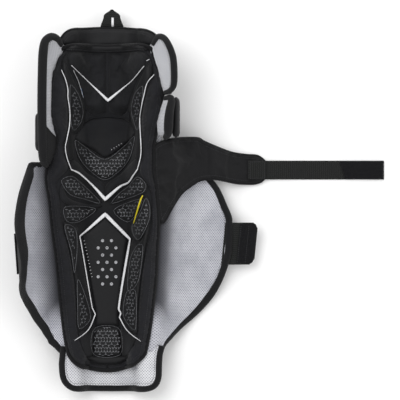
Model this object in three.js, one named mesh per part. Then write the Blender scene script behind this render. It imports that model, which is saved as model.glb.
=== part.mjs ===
// Ice hockey shin guard for a right leg, lying open on its hard front with the leg channel facing up.
//
// Millimetres. +Y runs from the ankle to the knee, +X to the wearer's strap side, +Z up, z = 0 on the floor.
// The guard is drawn round its own centreline and then set back by GUARD_X, so that the origin is the
// middle of the whole part, strap included.
//
// Cross-sections are drawn at set stations and joined by straight lines, so that all layers stay parallel.
// Cross-section, from the floor up: hard caps, foam base with mesh lining, hook strips, removable liner.
// Padded wings, straps and flaps hang on the base by fold lines, each drawn as a thin tapered lip.

import * as THREE from "three";

// ---------------------------------------------------------------- driving dimensions

const GUARD_X = -123; // the guard's centreline, seen from the middle of the part
const KNEE_END = 204; // top end of base and liner
const ANKLE_END = -226; // bottom end of the base
const CALF_TOP = 45; // the calf wings run from here ...
const CALF_BOTTOM = -197; // ... to here
const WALL_TILT = THREE.MathUtils.degToRad(70); // tilt of the channel's walls
const SHOULDER = 14; // flat ledge outside the channel's wall
const HINGE_GAP = 4.5; // from the base's edge to a wing's fold line
const LIP_HALF = 0.5; // half the thickness of a fold line's lip
const GAP = 0.4; // between neighbouring layers
const STATIONS = [-226, -197, -165, -130, -95, -60, -25, 10, 34, 52, 75, 100, 130, 160, 185, KNEE_END];
const ACROSS = [0, 1, 1.33, 1.67, 2, 3, 3.33, 3.67, 4, 5]; // stations from the middle outwards

// Layers, as heights over the foam base's underside.
const CAP_WALL = 2.8;
const CAP_TOP = -0.5;
const FOAM_TOP = 5.5;
const LINING = [FOAM_TOP + GAP, FOAM_TOP + GAP + 0.9];
const HOOK = [LINING[1] + GAP, LINING[1] + GAP + 1.0];
const LOOP = [HOOK[1] + GAP, HOOK[1] + GAP + 0.8];
const BACKING = [LOOP[1] + GAP, LOOP[1] + GAP + 1.5];
const PAD_FLOOR = BACKING[1] + GAP;
const BASE_MID = LINING[1] / 2; // fold lines lie half way through the base

// Wings: each is a cover, a foam core and a mesh lining, with a bound edge.
const WING_HALF = 3.4; // half a calf wing's thickness
const KNEE_WING_HALF = 4.2; // half a knee wing's thickness
const COVER = 1.2;
const BINDING_WIDTH = 6;
const WING_ROOT_RADIUS = 80; // a calf wing's bend near its fold line ...
const WING_ROOT_LENGTH = 50;
const WING_TIP_RADIUS = 45; // ... and at its free edge
const LEFT_START = 26; // degrees above level at which the left calf wing leaves its fold line
const RIGHT_START = -58; // the right one lies open on the floor

// Straps.
const STRAP_WIDTH = 25;
const STRAP_Y = 40; // the strap's centreline
const PAD_THICK = 5;
const PAD_END = 210;
const WEB_END = 311;
const STRAP_END = 369;

// ---------------------------------------------------------------- materials

const finish = (color, roughness, metalness = 0) =>
  new THREE.MeshStandardMaterial({ color, roughness, metalness });

const MATERIALS = {
  cap: finish(0x1b1c1e, 0.35),
  fabric: finish(0x222326, 0.9),
  liner: finish(0x262729, 0.85),
  mesh: finish(0xb9bac0, 0.95),
  binding: finish(0x1f2022, 0.9),
  webbing: finish(0x2a2c2b, 0.9),
  hook: finish(0x1e1f21, 0.95),
  reflective: finish(0xe4e4e6, 0.4),
  rivet: finish(0x8f9093, 0.35, 0.9),
};

// ---------------------------------------------------------------- helpers

const rad = THREE.MathUtils.degToRad;
const lerp = THREE.MathUtils.lerp;
const between = (low, high, n) => Array.from({ length: n + 1 }, (_, i) => lerp(low, high, i / n));

// A smooth curve through knots [y, value] that never overshoots them.
function curve(knots) {
  const n = knots.length;
  const rise = knots.slice(1).map(([y, v], i) => (v - knots[i][1]) / (y - knots[i][0]));
  const slope = knots.map((_, i) => {
    if (i === 0) return rise[0];
    if (i === n - 1) return rise[n - 2];
    const [a, b] = [rise[i - 1], rise[i]];
    return a * b <= 0 ? 0 : (2 * a * b) / (a + b);
  });
  return (y) => {
    if (y <= knots[0][0]) return knots[0][1] + slope[0] * (y - knots[0][0]);
    if (y >= knots[n - 1][0]) return knots[n - 1][1] + slope[n - 1] * (y - knots[n - 1][0]);
    const i = knots.findIndex(([top]) => y < top) - 1;
    const width = knots[i + 1][0] - knots[i][0];
    const t = (y - knots[i][0]) / width;
    const [a, b] = [knots[i][1], knots[i + 1][1]];
    const [da, db] = [slope[i] * width, slope[i + 1] * width];
    return (
      a * (1 + 2 * t) * (1 - t) ** 2 + da * t * (1 - t) ** 2 +
      b * t * t * (3 - 2 * t) + db * t * t * (t - 1)
    );
  };
}

// A closed solid between two sheets of points over the same grid. at(u, v, top) gives a point [x, y, z].
function slab(us, vs, at) {
  const [nu, nv] = [us.length, vs.length];
  const points = [];
  for (const top of [false, true]) {
    for (const u of us) {
      for (const v of vs) points.push(...at(u, v, top));
    }
  }
  const id = (i, j, top) => (top ? nu * nv : 0) + i * nv + j;
  const index = [];
  const quad = (a, b, c, d) => index.push(a, b, c, a, c, d);
  for (let i = 0; i < nu - 1; i++) {
    for (let j = 0; j < nv - 1; j++) {
      quad(id(i, j, true), id(i + 1, j, true), id(i + 1, j + 1, true), id(i, j + 1, true));
      quad(id(i, j), id(i, j + 1), id(i + 1, j + 1), id(i + 1, j));
    }
  }
  for (let i = 0; i < nu - 1; i++) {
    quad(id(i, 0), id(i + 1, 0), id(i + 1, 0, true), id(i, 0, true));
    quad(id(i + 1, nv - 1), id(i, nv - 1), id(i, nv - 1, true), id(i + 1, nv - 1, true));
  }
  for (let j = 0; j < nv - 1; j++) {
    quad(id(0, j + 1), id(0, j), id(0, j, true), id(0, j + 1, true));
    quad(id(nu - 1, j), id(nu - 1, j + 1), id(nu - 1, j + 1, true), id(nu - 1, j, true));
  }
  return facingOut(points, index);
}

// Turns every face round if the solid is inside out, as it is where a grid is mirrored.
function facingOut(points, index) {
  const corner = (n) => new THREE.Vector3().fromArray(points, 3 * n);
  let volume = 0;
  for (let i = 0; i < index.length; i += 3) {
    const [a, b, c] = [corner(index[i]), corner(index[i + 1]), corner(index[i + 2])];
    volume += a.dot(b.cross(c));
  }
  if (volume < 0) {
    for (let i = 0; i < index.length; i += 3) {
      [index[i + 1], index[i + 2]] = [index[i + 2], index[i + 1]];
    }
  }
  const geometry = new THREE.BufferGeometry();
  geometry.setAttribute("position", new THREE.Float32BufferAttribute(points, 3));
  geometry.setIndex(index);
  return geometry;
}

const guard = new THREE.Group();
guard.position.x = GUARD_X;

function add(name, material, geometry) {
  const mesh = new THREE.Mesh(geometry, MATERIALS[material]);
  mesh.name = name;
  guard.add(mesh);
  return mesh;
}

// ---------------------------------------------------------------- the channel that all layers follow

const hingeHalf = curve([[-226, 64], [-197, 66], [30, 81], [45, 82], [62, 76], [90, 77], [140, 80], [205, 76]]);
const shoulderZ = curve([[-226, 30.7], [-197, 33], [30, 50.8], [45, 52], [130, 57], [205, 50]]);
const floorZ = curve([[-226, 4.5], [-197, 3.3], [10, 3.3], [34, 7.3], [52, 7.3], [75, 3.3], [130, 3.3], [204, 14]]);
const floorBend = curve([[-226, 22], [-120, 28], [205, 30]]);
const rimBend = curve([[-226, 8], [-120, 11], [205, 12]]);

// A point of the cross-section at y. |q| counts along it: 0 to 1 the flat floor, to 2 the floor bend, to 3 the
// wall, to 4 the rim bend, to 5 the shoulder. d is the height over the foam's underside, along the normal.
function section(q, y, d) {
  const a = Math.abs(q);
  const part = (n) => THREE.MathUtils.clamp(a - n, 0, 1);
  const [sin, cos] = [Math.sin(WALL_TILT), Math.cos(WALL_TILT)];
  const [low, inner, outer] = [floorZ(y), floorBend(y), rimBend(y)];
  const wall = (shoulderZ(y) - low - (inner + outer) * (1 - cos)) / sin;
  const flat = hingeHalf(y) - SHOULDER - (inner + outer) * sin - wall * cos;
  const up = WALL_TILT * part(1);
  const tilt = up - WALL_TILT * part(3);
  let x = flat * part(0) + inner * Math.sin(up) + wall * cos * part(2);
  let z = low + inner * (1 - Math.cos(up)) + wall * sin * part(2);
  x += outer * (sin - Math.sin(tilt)) * (a > 3) + SHOULDER * part(4);
  z += outer * (Math.cos(tilt) - cos) * (a > 3);
  return [Math.sign(q) * (x - d * Math.sin(tilt)), y, z + d * Math.cos(tilt)];
}

// The same surface with straight lines between the stations.
function channel(q, y, d) {
  const span = (list, value) => {
    const i = THREE.MathUtils.clamp(list.findIndex((s) => s > value), 1, list.length - 1);
    const t = THREE.MathUtils.clamp((value - list[i - 1]) / (list[i] - list[i - 1]), 0, 1);
    return value >= list[list.length - 1] ? [list.length - 2, 1] : [i - 1, t];
  };
  const side = Math.sign(q) || 1;
  const [i, s] = span(ACROSS, Math.abs(q));
  const [j, t] = span(STATIONS, y);
  const corner = (m, n) => section(side * ACROSS[i + m], STATIONS[j + n], d);
  return [0, 1, 2].map((k) => {
    const value = lerp(lerp(corner(0, 0)[k], corner(1, 0)[k], s), lerp(corner(0, 1)[k], corner(1, 1)[k], s), t);
    return k === 1 ? y : value;
  });
}

// low, the stations between low and high, and high. Those within 1 % of an end are left out.
function stations(list, low, high) {
  const all = [...new Set([...list.map((s) => -s), ...list])].sort((a, b) => a - b);
  const slack = (high - low) * 0.01;
  return [low, ...all.filter((s) => s > low + slack && s < high - slack), high];
}
const rowsAcross = (low, high) => stations(ACROSS, low, high);
const rowsAlong = (low, high) => [low, ...STATIONS.filter((y) => y > low + 0.5 && y < high - 0.5), high];

// A layer of the channel from height low to height high, which are numbers or functions of q and y.
function layer(qs, ys, low, high) {
  const height = (h, q, y) => (typeof h === "function" ? h(q, y) : h);
  return slab(qs, ys, (q, y, top) => channel(q, y, height(top ? high : low, q, y)));
}

// The shoulder ends short of the fold line.
const SHOULDER_END = 5 - HINGE_GAP / SHOULDER;

// ---------------------------------------------------------------- hard caps and their rivets

const LAP_STEP = 3.3; // the knee cap's lower lip stands this far outside the shin cap's upper edge
const lapStep = (y) => LAP_STEP * (1 - THREE.MathUtils.clamp((y - 52) / 23, 0, 1));

function caps() {
  const qs = rowsAcross(-3, 3);
  add("shin_cap", "cap", layer(qs, rowsAlong(-205, 46), CAP_TOP - CAP_WALL, CAP_TOP));
  const outside = (q, y) => CAP_TOP - CAP_WALL - lapStep(y);
  const inside = (q, y) => CAP_TOP - lapStep(y);
  add("knee_cap", "cap", layer(qs, [...rowsAlong(34, 75), ...rowsAlong(75, 198).slice(1)], outside, inside));
}

// A domed rivet head on a cap's wall, standing on the wall's outer face.
function rivet(name, q, y, extra = 0) {
  const RADIUS = 4.5;
  const DOME = 1.8;
  const profile = [[0, 0], [RADIUS, 0], [RADIUS, 0.7], [RADIUS * 0.6, DOME * 0.9], [0, DOME]];
  const points = profile.map(([r, h]) => new THREE.Vector2(r, h));
  const geometry = new THREE.LatheGeometry(points, 12);
  const depth = CAP_TOP - CAP_WALL - extra;
  const foot = new THREE.Vector3(...channel(q, y, depth - 0.3));
  const tip = new THREE.Vector3(...channel(q, y, depth - 2));
  const outwards = tip.sub(foot).normalize();
  const mesh = add(name, "rivet", geometry);
  mesh.position.copy(foot);
  mesh.quaternion.setFromUnitVectors(new THREE.Vector3(0, 1, 0), outwards);
}

function rivets() {
  const WALL_MIDDLE = 2.5;
  for (const [side, sign] of [["left", -1], ["right", 1]]) {
    rivet(`rivet_shin_${side}_lower`, sign * WALL_MIDDLE, -150);
    rivet(`rivet_shin_${side}_upper`, sign * WALL_MIDDLE, -20);
    rivet(`rivet_knee_${side}`, sign * WALL_MIDDLE, 140);
  }
}

// ---------------------------------------------------------------- fixed base

function base() {
  const qs = rowsAcross(-SHOULDER_END, SHOULDER_END);
  add("base_foam", "fabric", layer(qs, STATIONS, 0, FOAM_TOP));
  add("base_lining", "mesh", layer(qs, STATIONS, LINING[0], LINING[1]));
  const across = rowsAcross(-1.33, 1.33);
  add("hook_strip_upper", "hook", layer(across, rowsAlong(125, 185), HOOK[0], HOOK[1]));
  add("hook_strip_lower", "hook", layer(across, rowsAlong(-165, -60), HOOK[0], HOOK[1]));
  // black patch on the right shoulder, where the strap pad is sewn down
  const patch = layer([4.45, SHOULDER_END], rowsAlong(-42, 60), HOOK[0], HOOK[1] + 0.4);
  add("strap_root_patch", "fabric", patch);
}

// ---------------------------------------------------------------- calf wings

// A point of a calf wing: r along its curve from the fold line, d off its middle, towards the leg.
function calfWing(side, start, r, d, y) {
  const rootTurn = Math.min(r, WING_ROOT_LENGTH) / WING_ROOT_RADIUS;
  const tipTurn = Math.max(r - WING_ROOT_LENGTH, 0) / WING_TIP_RADIUS;
  const first = start + rootTurn;
  const heading = first + tipTurn;
  const x =
    WING_ROOT_RADIUS * (Math.sin(first) - Math.sin(start)) +
    WING_TIP_RADIUS * (Math.sin(heading) - Math.sin(first)) - d * Math.sin(heading);
  const z =
    WING_ROOT_RADIUS * (Math.cos(start) - Math.cos(first)) +
    WING_TIP_RADIUS * (Math.cos(first) - Math.cos(heading)) + d * Math.cos(heading);
  return [side * (hingeHalf(y) + x), y, shoulderZ(y) + BASE_MID + z];
}

const leftReach = curve([
  [-197, 8], [-184, 10], [-170, 17], [-155, 31], [-141, 43], [-128, 58], [-113, 78], [-98, 92], [-80, 97], [-53, 88],
  [-20, 68], [7, 53], [29, 38], [45, 26],
]);
const rightReach = curve([
  [-197, 10], [-185, 18], [-169, 35], [-152, 55], [-136, 70], [-119, 83], [-99, 93], [-66, 102], [-29, 100], [-7, 89],
  [13, 78], [29, 64], [45, 44],
]);
const leftStart = curve([[-197, LEFT_START], [-40, LEFT_START], [45, LEFT_START + 12]]);

function calfWings() {
  const sides = [
    ["left", -1, leftReach, (y) => rad(leftStart(y))],
    ["right", 1, rightReach, () => rad(RIGHT_START)],
  ];
  const ys = [CALF_BOTTOM, -180, -160, -136, -112, -85, -55, -25, 2, 25, CALF_TOP];
  for (const [side, sign, reach, start] of sides) {
    const sheet = (rows, low, high) =>
      slab(rows, ys, (row, y, top) => {
        const [r, bottom, ceiling] = row(reach(y) - BINDING_WIDTH - 1.2, low, high);
        return calfWing(sign, start(y), r, top ? ceiling : bottom, y);
      });
    const spread = (f) => (inner, low, high) => [lerp(1.5, Math.max(inner, 2), f), low, high];
    const lip = (r, half) => (_, low, high) => [r, Math.max(low, -half), Math.min(high, half)];
    const full = [0, 0.17, 0.34, 0.5, 0.67, 0.83, 1].map(spread);
    const core = [lip(-HINGE_GAP + 0.3, LIP_HALF), lip(0.6, LIP_HALF + 0.2), ...full];
    add(`calf_cover_${side}`, "fabric", sheet(full, -WING_HALF, -WING_HALF + COVER));
    add(`calf_foam_${side}`, "fabric", sheet(core, -WING_HALF + COVER + 0.3, WING_HALF - 1.2));
    add(`calf_lining_${side}`, "mesh", sheet(full, WING_HALF - 0.9, WING_HALF));
    const edge = slab([-BINDING_WIDTH, -BINDING_WIDTH / 2, 0], ys, (back, y, top) => {
      const half = WING_HALF + (back ? 0.4 : -1.2);
      return calfWing(sign, start(y), reach(y) + back, top ? half : -half, y);
    });
    add(`calf_binding_${side}`, "binding", edge);
  }
  // loop patch on the outside of the left wing, where the right wing's closure lands
  const patch = slab([66, 73, 80, 87], between(-73, -3, 4), (r, y, top) => {
    const along = Math.min(r, leftReach(y) - BINDING_WIDTH - 2.4 - (87 - r) * 0.9);
    return calfWing(-1, rad(leftStart(y)), along, -WING_HALF - 0.6 - (top ? 0 : 1.4), y);
  });
  add("loop_patch_left", "hook", patch);
}

// ---------------------------------------------------------------- closure tab on the right calf wing

function closureTab() {
  const HALF = 1.4;
  const DROOP = rad(-6);
  const [LOW, HIGH] = [-86, -30];
  const LENGTH = 39;
  const CHAMFER = 7;
  // its root is a straight line along the wing's free edge
  const edge = (y) => calfWing(1, rad(RIGHT_START), rightReach(y), 0, y);
  const [near, far] = [edge(LOW), edge(HIGH)];
  const at = (from, to, low, high) =>
    slab([0, 0.5, 1], [LOW, LOW + CHAMFER, HIGH - CHAMFER, HIGH], (u, y, top) => {
      const t = (y - LOW) / (HIGH - LOW);
      const cut = y === LOW || y === HIGH ? CHAMFER : 0;
      const r = lerp(from, to - cut, u);
      const d = top ? high : low;
      return [
        lerp(near[0], far[0], t) + r * Math.cos(DROOP) - d * Math.sin(DROOP), y,
        lerp(near[2], far[2], t) + r * Math.sin(DROOP) + d * Math.cos(DROOP),
      ];
    });
  add("closure_elastic", "webbing", at(5, LENGTH, -HALF, HALF));
  add("closure_hook", "hook", at(16, LENGTH - 1.5, HALF + 0.3, HALF + 1.5));
}

// ---------------------------------------------------------------- lateral strap

// The strap pad lies on the right calf wing, leaves it near its edge and comes down to the floor.
const PAD_FREE = 62; // how far along the wing the pad follows it
const PAD_OVER_WING = WING_HALF + 2.2 + PAD_THICK / 2;
const PAD_LANDING = 196;
const PAD_FLOOR_Z = 3.2;

function padPoint(x, d, y) {
  const start = rad(RIGHT_START);
  const anchor = lerp(y, STRAP_Y, THREE.MathUtils.smoothstep(x, 95, 125));
  const onWing = (r) => calfWing(1, start, r, PAD_OVER_WING + d, anchor);
  let r = 0;
  while (r < PAD_FREE && onWing(r)[0] < x) r += 0.25;
  if (r < PAD_FREE) return [onWing(r)[0], y, onWing(r)[2]];
  const [leaveX, , leaveZ] = calfWing(1, start, PAD_FREE, PAD_OVER_WING, STRAP_Y);
  const down = THREE.MathUtils.smoothstep(x, leaveX - 6, PAD_LANDING);
  return [x, y, lerp(leaveZ, PAD_FLOOR_Z, down) + d];
}

const padTop = curve([[88, 74], [100, 80], [118, 81], [130, 76], [146, 69], [166, 63], [190, 61], [204, 57], [210, 50]]);
const padBottom = curve([[88, -12], [96, 6], [110, 18], [124, 25], [140, 28], [160, 25], [180, 22.5], [200, 24], [210, 31]]);

function strap() {
  const xs = [88, 94, 100, 108, 116, 124, 132, 146, 160, 175, 190, 202, PAD_END];
  const body = slab(xs, [0, 0.33, 0.67, 1], (x, v, top) =>
    padPoint(x, top ? PAD_THICK / 2 : -PAD_THICK / 2, lerp(padBottom(x), padTop(x), v)));
  add("strap_pad", "fabric", body);
  const half = STRAP_WIDTH / 2;
  const across = [STRAP_Y - half, STRAP_Y + half];
  const sewn = slab([190, 202, PAD_END - 0.5], across, (x, y, top) =>
    padPoint(x, PAD_THICK / 2 + 0.5 + (top ? 1.6 : 0), y));
  add("strap_anchor", "webbing", sewn);
  const webZ = curve([[PAD_END, 3], [245, 1.6], [WEB_END, 1.6], [STRAP_END, 1.6]]);
  const web = slab([212, 228, 245, 278, WEB_END], across, (x, y, top) => [x, y, webZ(x) + (top ? 0.8 : -0.8)]);
  add("strap_webbing", "webbing", web);
  const tip = slab([WEB_END + 2, STRAP_END], across, (x, y, top) => [x, y, 1.6 + (top ? 0.4 : -0.8)]);
  add("strap_tip", "webbing", tip);
  const SLANT = 10;
  const tape = slab([0, 1], [across[0] - 1, across[1] + 0.5], (u, y, top) => {
    const near = WEB_END + 3 + (y < STRAP_Y ? SLANT : 0);
    return [lerp(near, STRAP_END, u), y, 2.3 + (top ? 1.2 : 0)];
  });
  add("strap_hook_tape", "hook", tape);
}

// ---------------------------------------------------------------- knee wings

// A point of a knee wing: f from the fold line to the free edge, v from its ankle end to its knee end.
function kneeWing(side, shape, r, d, y) {
  const start = rad(shape.start(y));
  const turn = r / shape.radius;
  const heading = start + turn;
  const x = shape.radius * (Math.sin(heading) - Math.sin(start)) - d * Math.sin(heading);
  const z = shape.radius * (Math.cos(start) - Math.cos(heading)) + d * Math.cos(heading);
  return [side * (shape.hinge(y) + x), y, shape.height(y) + z];
}

function kneeWings() {
  const line = (low, high) => curve([[50, low], [210, high]]);
  const common = { radius: 170, hinge: line(79.5, 82), height: line(57.5, 59) };
  const shapes = {
    left: {
      ...common, side: -1, start: curve([[45, 82], [110, 81], [150, 76], [208, 62]]), length: 52,
      low: (f) => 68 - 20 * f, high: (f) => 206 - 12 * f * f,
    },
    right_upper: {
      ...common, side: 1, start: curve([[130, 76], [170, 74], [208, 62]]), length: 50,
      low: () => 137, high: (f) => 206 - 14 * f * f,
    },
    right_lower: {
      ...common, side: 1, start: curve([[80, 82], [110, 82], [135, 80]]), length: 44,
      low: () => 84, high: (f) => 134 - 6 * f * f,
    },
  };
  for (const [name, shape] of Object.entries(shapes)) {
    const piece = (fs, low, high) =>
      slab(fs, [0, 0.2, 0.4, 0.6, 0.8, 1], (f, v, top) => {
        const y = lerp(shape.low(Math.max(f, 0)), shape.high(Math.max(f, 0)), v);
        return kneeWing(shape.side, shape, f * shape.length, top ? high(f) : low(f), y);
      });
    const lipF = -(HINGE_GAP - 0.3) / shape.length;
    const thin = (f) => f < 0.02;
    const pad = piece(
      [lipF, 0.012, 0.05, 0.25, 0.5, 0.75, 0.95, 1],
      (f) => (thin(f) ? -LIP_HALF : f === 1 ? -KNEE_WING_HALF + 1.5 : -KNEE_WING_HALF),
      (f) => (thin(f) ? LIP_HALF : KNEE_WING_HALF - 1.3),
    );
    add(`knee_wing_${name}`, "fabric", pad);
    const face = () => KNEE_WING_HALF - 1;
    add(`knee_lining_${name}`, "mesh", piece([0.07, 0.25, 0.5, 0.75, 0.9], face, () => KNEE_WING_HALF - 0.1));
  }
  // side guards: padded plates sewn to the outside of two of the wings
  const outer = -KNEE_WING_HALF - 0.6;
  for (const [name, shape, low, high] of [
    ["left", shapes.left, 70, 114],
    ["right", shapes.right_lower, 86, 130],
  ]) {
    const plate = slab([1, 10, 19, 28], between(low, high, 4), (r, y, top) =>
      kneeWing(shape.side, shape, r, top ? outer : outer - 4.8, y));
    add(`side_guard_${name}`, "fabric", plate);
  }
}

// ---------------------------------------------------------------- thigh flap and pull tab

const THIGH_ROOT = 210;
const THIGH_TIP = 229;

function thighFlap() {
  const qs = rowsAcross(-4, 4);
  const edge = (q) => THIGH_TIP - 0.9 * q * q;
  const rows = (root, tip) => [root, (root + tip) / 2, tip];
  const flap = (across, low, high, root, back) =>
    slab(across, [0, 1, 2], (q, n, top) => {
      const y = rows(root, edge(q) - back)[n];
      const [x, , z] = channel(q, KNEE_END, top ? high : low);
      return [x, y, z];
    });
  add("thigh_pad", "fabric", flap(qs, 1, 15, THIGH_ROOT, 0));
  add("thigh_cap", "cap", flap(rowsAcross(-3, 3), -2.2, 0.6, THIGH_ROOT, 3));
}

function pullTab() {
  const MIDDLE = 6;
  const HALF_WIDTH = 15;
  const outline = [[-HALF_WIDTH, 232], [HALF_WIDTH, 232], [HALF_WIDTH, 239], [2, 253], [-2, 253], [-HALF_WIDTH, 239]];
  const shape = new THREE.Shape(outline.map(([x, y]) => new THREE.Vector2(x + MIDDLE, y)));
  const webbing = new THREE.ExtrudeGeometry(shape, { depth: 3, bevelEnabled: false });
  webbing.translate(0, 0, 24);
  add("pull_tab", "webbing", webbing);
  const stripe = new THREE.BoxGeometry(4, 12, 0.6);
  stripe.translate(MIDDLE + 1, 238.5, 27.6);
  add("pull_tab_stripe", "reflective", stripe);
}

// ---------------------------------------------------------------- ankle flap

const ANKLE_ROOT = -231;
const ANKLE_TIP = -252;

function ankleFlap() {
  const qs = rowsAcross(-4.6, 4.6);
  const edge = (q) => ANKLE_TIP + 6 * Math.max(Math.abs(q) - 3.9, 0) ** 2 * 4;
  const flap = (near, far, low, high) =>
    slab(qs, [0, 1], (q, n, top) => {
      const y = n ? edge(q) + far : near;
      const [x, , z] = channel(q, ANKLE_END, top ? high : low);
      return [x, y, z];
    });
  add("ankle_foam", "fabric", flap(ANKLE_ROOT, 6.3, 0, FOAM_TOP));
  add("ankle_lining", "mesh", flap(ANKLE_ROOT, 6.3, LINING[0], LINING[1]));
  const bound = slab(qs, [0, 1], (q, n, top) => {
    const y = n ? edge(q) : edge(q) + 6;
    const [x, , z] = channel(q, ANKLE_END, top ? LINING[1] + 0.3 : 0);
    return [x, y, z];
  });
  add("ankle_binding", "binding", bound);
}

// ---------------------------------------------------------------- removable liner

function liner() {
  const strip = rowsAcross(-1.33, 1.33);
  add("loop_strip_upper", "hook", layer(strip, rowsAlong(125, 185), LOOP[0], LOOP[1]));
  add("loop_strip_lower", "hook", layer(strip, rowsAlong(-165, -60), LOOP[0], LOOP[1]));
  add("liner_backing", "liner", layer(rowsAcross(-4, 4), rowsAlong(-222, 202), BACKING[0], BACKING[1]));

  // pads in the middle of the channel: name, span across, span along, thickness
  const pads = [
    ["thigh_left", -1.5, -0.02, 118, 202, 10],
    ["thigh_right", 0.02, 1.5, 118, 202, 10],
    ["knee_cup", -1.5, 1.5, 64, 117.4, 5],
    ["chevron", -1.5, 1.5, 1, 63.4, 8],
    ["shin", -1.5, 1.5, -146, 0.4, 8],
    ["ankle", -1.5, 1.5, -222, -146.6, 6],
  ];
  for (const [name, left, right, low, high, thick] of pads) {
    const pad = layer(rowsAcross(left, right), rowsAlong(low, high), PAD_FLOOR, PAD_FLOOR + thick);
    add(`liner_${name}`, "liner", pad);
  }

  // rolls along both sides, thickest over the rim, their outer edges sunk past the backing's edge
  const thickness = curve([[1.5, 8], [2.2, 11], [3, 13], [3.67, 13], [4.1, 11], [4.43, 6]]);
  const roll = (q, y) => {
    const slim = THREE.MathUtils.smoothstep(y, -222, -120);
    return PAD_FLOOR + thickness(Math.abs(q)) * lerp(0.65, 1, slim);
  };
  const seat = (q) => PAD_FLOOR - (Math.abs(q) > 4.1 ? 2.8 : 0);
  const right = [...rowsAcross(1.54, 4), 4.04, 4.12, 4.43];
  const left = right.map((q) => -q).reverse();
  for (const [part, low, high] of [["knee", 46, 202], ["shin", -222, 45.4]]) {
    add(`liner_roll_${part}_right`, "liner", layer(right, rowsAlong(low, high), seat, roll));
    add(`liner_roll_${part}_left`, "liner", layer(left, rowsAlong(low, high), seat, roll));
  }
}

caps();
rivets();
base();
calfWings();
closureTab();
strap();
kneeWings();
thighFlap();
pullTab();
ankleFlap();
liner();

export default guard;
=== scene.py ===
# A right-leg ice hockey shin guard, lying on its hard caps with wraps and strap opened out.
# Positions are in millimetres from the guard's own centreline. mesh_piece and point turn them into metres.

import math

import bmesh
import bpy
import numpy as np
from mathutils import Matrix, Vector, noise
from mathutils.bvhtree import BVHTree
from mathutils.geometry import delaunay_2d_cdt


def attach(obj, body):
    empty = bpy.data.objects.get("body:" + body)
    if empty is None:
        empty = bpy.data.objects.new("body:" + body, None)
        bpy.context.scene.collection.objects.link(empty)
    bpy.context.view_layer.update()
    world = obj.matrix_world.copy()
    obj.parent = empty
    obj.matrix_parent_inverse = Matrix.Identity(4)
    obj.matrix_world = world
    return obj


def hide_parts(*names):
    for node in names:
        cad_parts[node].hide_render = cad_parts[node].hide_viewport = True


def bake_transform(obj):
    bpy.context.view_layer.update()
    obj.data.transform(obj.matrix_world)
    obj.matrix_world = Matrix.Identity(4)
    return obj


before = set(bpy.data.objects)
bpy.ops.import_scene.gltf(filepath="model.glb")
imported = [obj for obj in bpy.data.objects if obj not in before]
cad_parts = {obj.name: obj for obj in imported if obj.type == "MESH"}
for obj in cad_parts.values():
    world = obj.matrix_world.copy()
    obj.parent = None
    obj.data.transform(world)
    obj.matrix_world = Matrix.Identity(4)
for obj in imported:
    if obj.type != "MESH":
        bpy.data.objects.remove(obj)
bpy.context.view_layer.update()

MM = 0.001
GUARD_X = -123.0  # the guard's centreline, seen from the middle of the part
scene = bpy.context.scene


# ---------------------------------------------------------------- numbers and curves

def lerp(a, b, t):
    return a + (b - a) * t


def clip01(t):
    return np.clip(t, 0.0, 1.0)


def smooth(t, low=0.0, high=1.0):
    t = clip01((np.asarray(t, float) - low) / (high - low))
    return t * t * (3 - 2 * t)


def curve(knots):
    """A smooth curve through (y, value) knots that never overshoots them."""
    knots = sorted(knots)
    ys = np.array([k[0] for k in knots], float)
    vs = np.array([k[1] for k in knots], float)
    rise = np.diff(vs) / np.diff(ys)
    slope = np.zeros(len(ys))
    slope[0], slope[-1] = rise[0], rise[-1]
    for i in range(1, len(ys) - 1):
        a, b = rise[i - 1], rise[i]
        slope[i] = 0.0 if a * b <= 0 else 2 * a * b / (a + b)

    def at(y):
        y = np.clip(np.asarray(y, float), ys[0], ys[-1])
        i = np.clip(np.searchsorted(ys, y, side="right") - 1, 0, len(ys) - 2)
        w = ys[i + 1] - ys[i]
        t = (y - ys[i]) / w
        return (
            vs[i] * (1 + 2 * t) * (1 - t) ** 2 + slope[i] * w * t * (1 - t) ** 2
            + vs[i + 1] * t * t * (3 - 2 * t) + slope[i + 1] * w * t * t * (t - 1)
        )

    return at


def spline(points, step=2.0, closed=False, corners=()):
    """A smooth path through the points, resampled at about step. corners are indices that stay sharp."""
    pts = [np.array(p, float) for p in points]
    n = len(pts)
    out = []
    spans = n if closed else n - 1
    for i in range(spans):
        p1, p2 = pts[i], pts[(i + 1) % n]
        p0 = pts[(i - 1) % n] if (closed or i > 0) else 2 * p1 - p2
        p3 = pts[(i + 2) % n] if (closed or i + 2 < n) else 2 * p2 - p1
        if i in corners:
            p0 = 2 * p1 - p2
        if (i + 1) % n in corners:
            p3 = 2 * p2 - p1
        count = max(2, int(np.linalg.norm(p2 - p1) / step))
        m1, m2 = (p2 - p0) / 2, (p3 - p1) / 2
        reach = np.linalg.norm(p2 - p1)
        for m in (m1, m2):
            length = np.linalg.norm(m)
            if length > reach:
                m *= reach / length
        for k in range(count):
            t = k / count
            out.append(p1 * (1 + 2 * t) * (1 - t) ** 2 + m1 * t * (1 - t) ** 2 + p2 * t * t * (3 - 2 * t)
                       + m2 * t * t * (t - 1))
    if not closed:
        out.append(pts[-1])
    return np.array(out)


def distance_to(points, path):
    """The distance from each of the points to a closed path, in the plane."""
    points = np.asarray(points, float)[:, :2]
    path = np.asarray(path, float)[:, :2]
    best = np.full(len(points), 1e9)
    for a, b in zip(path, np.roll(path, -1, axis=0)):
        d = b - a
        t = clip01(((points - a) @ d) / max(d @ d, 1e-9))
        best = np.minimum(best, np.linalg.norm(points - a - t[:, None] * d, axis=1))
    return best


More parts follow.
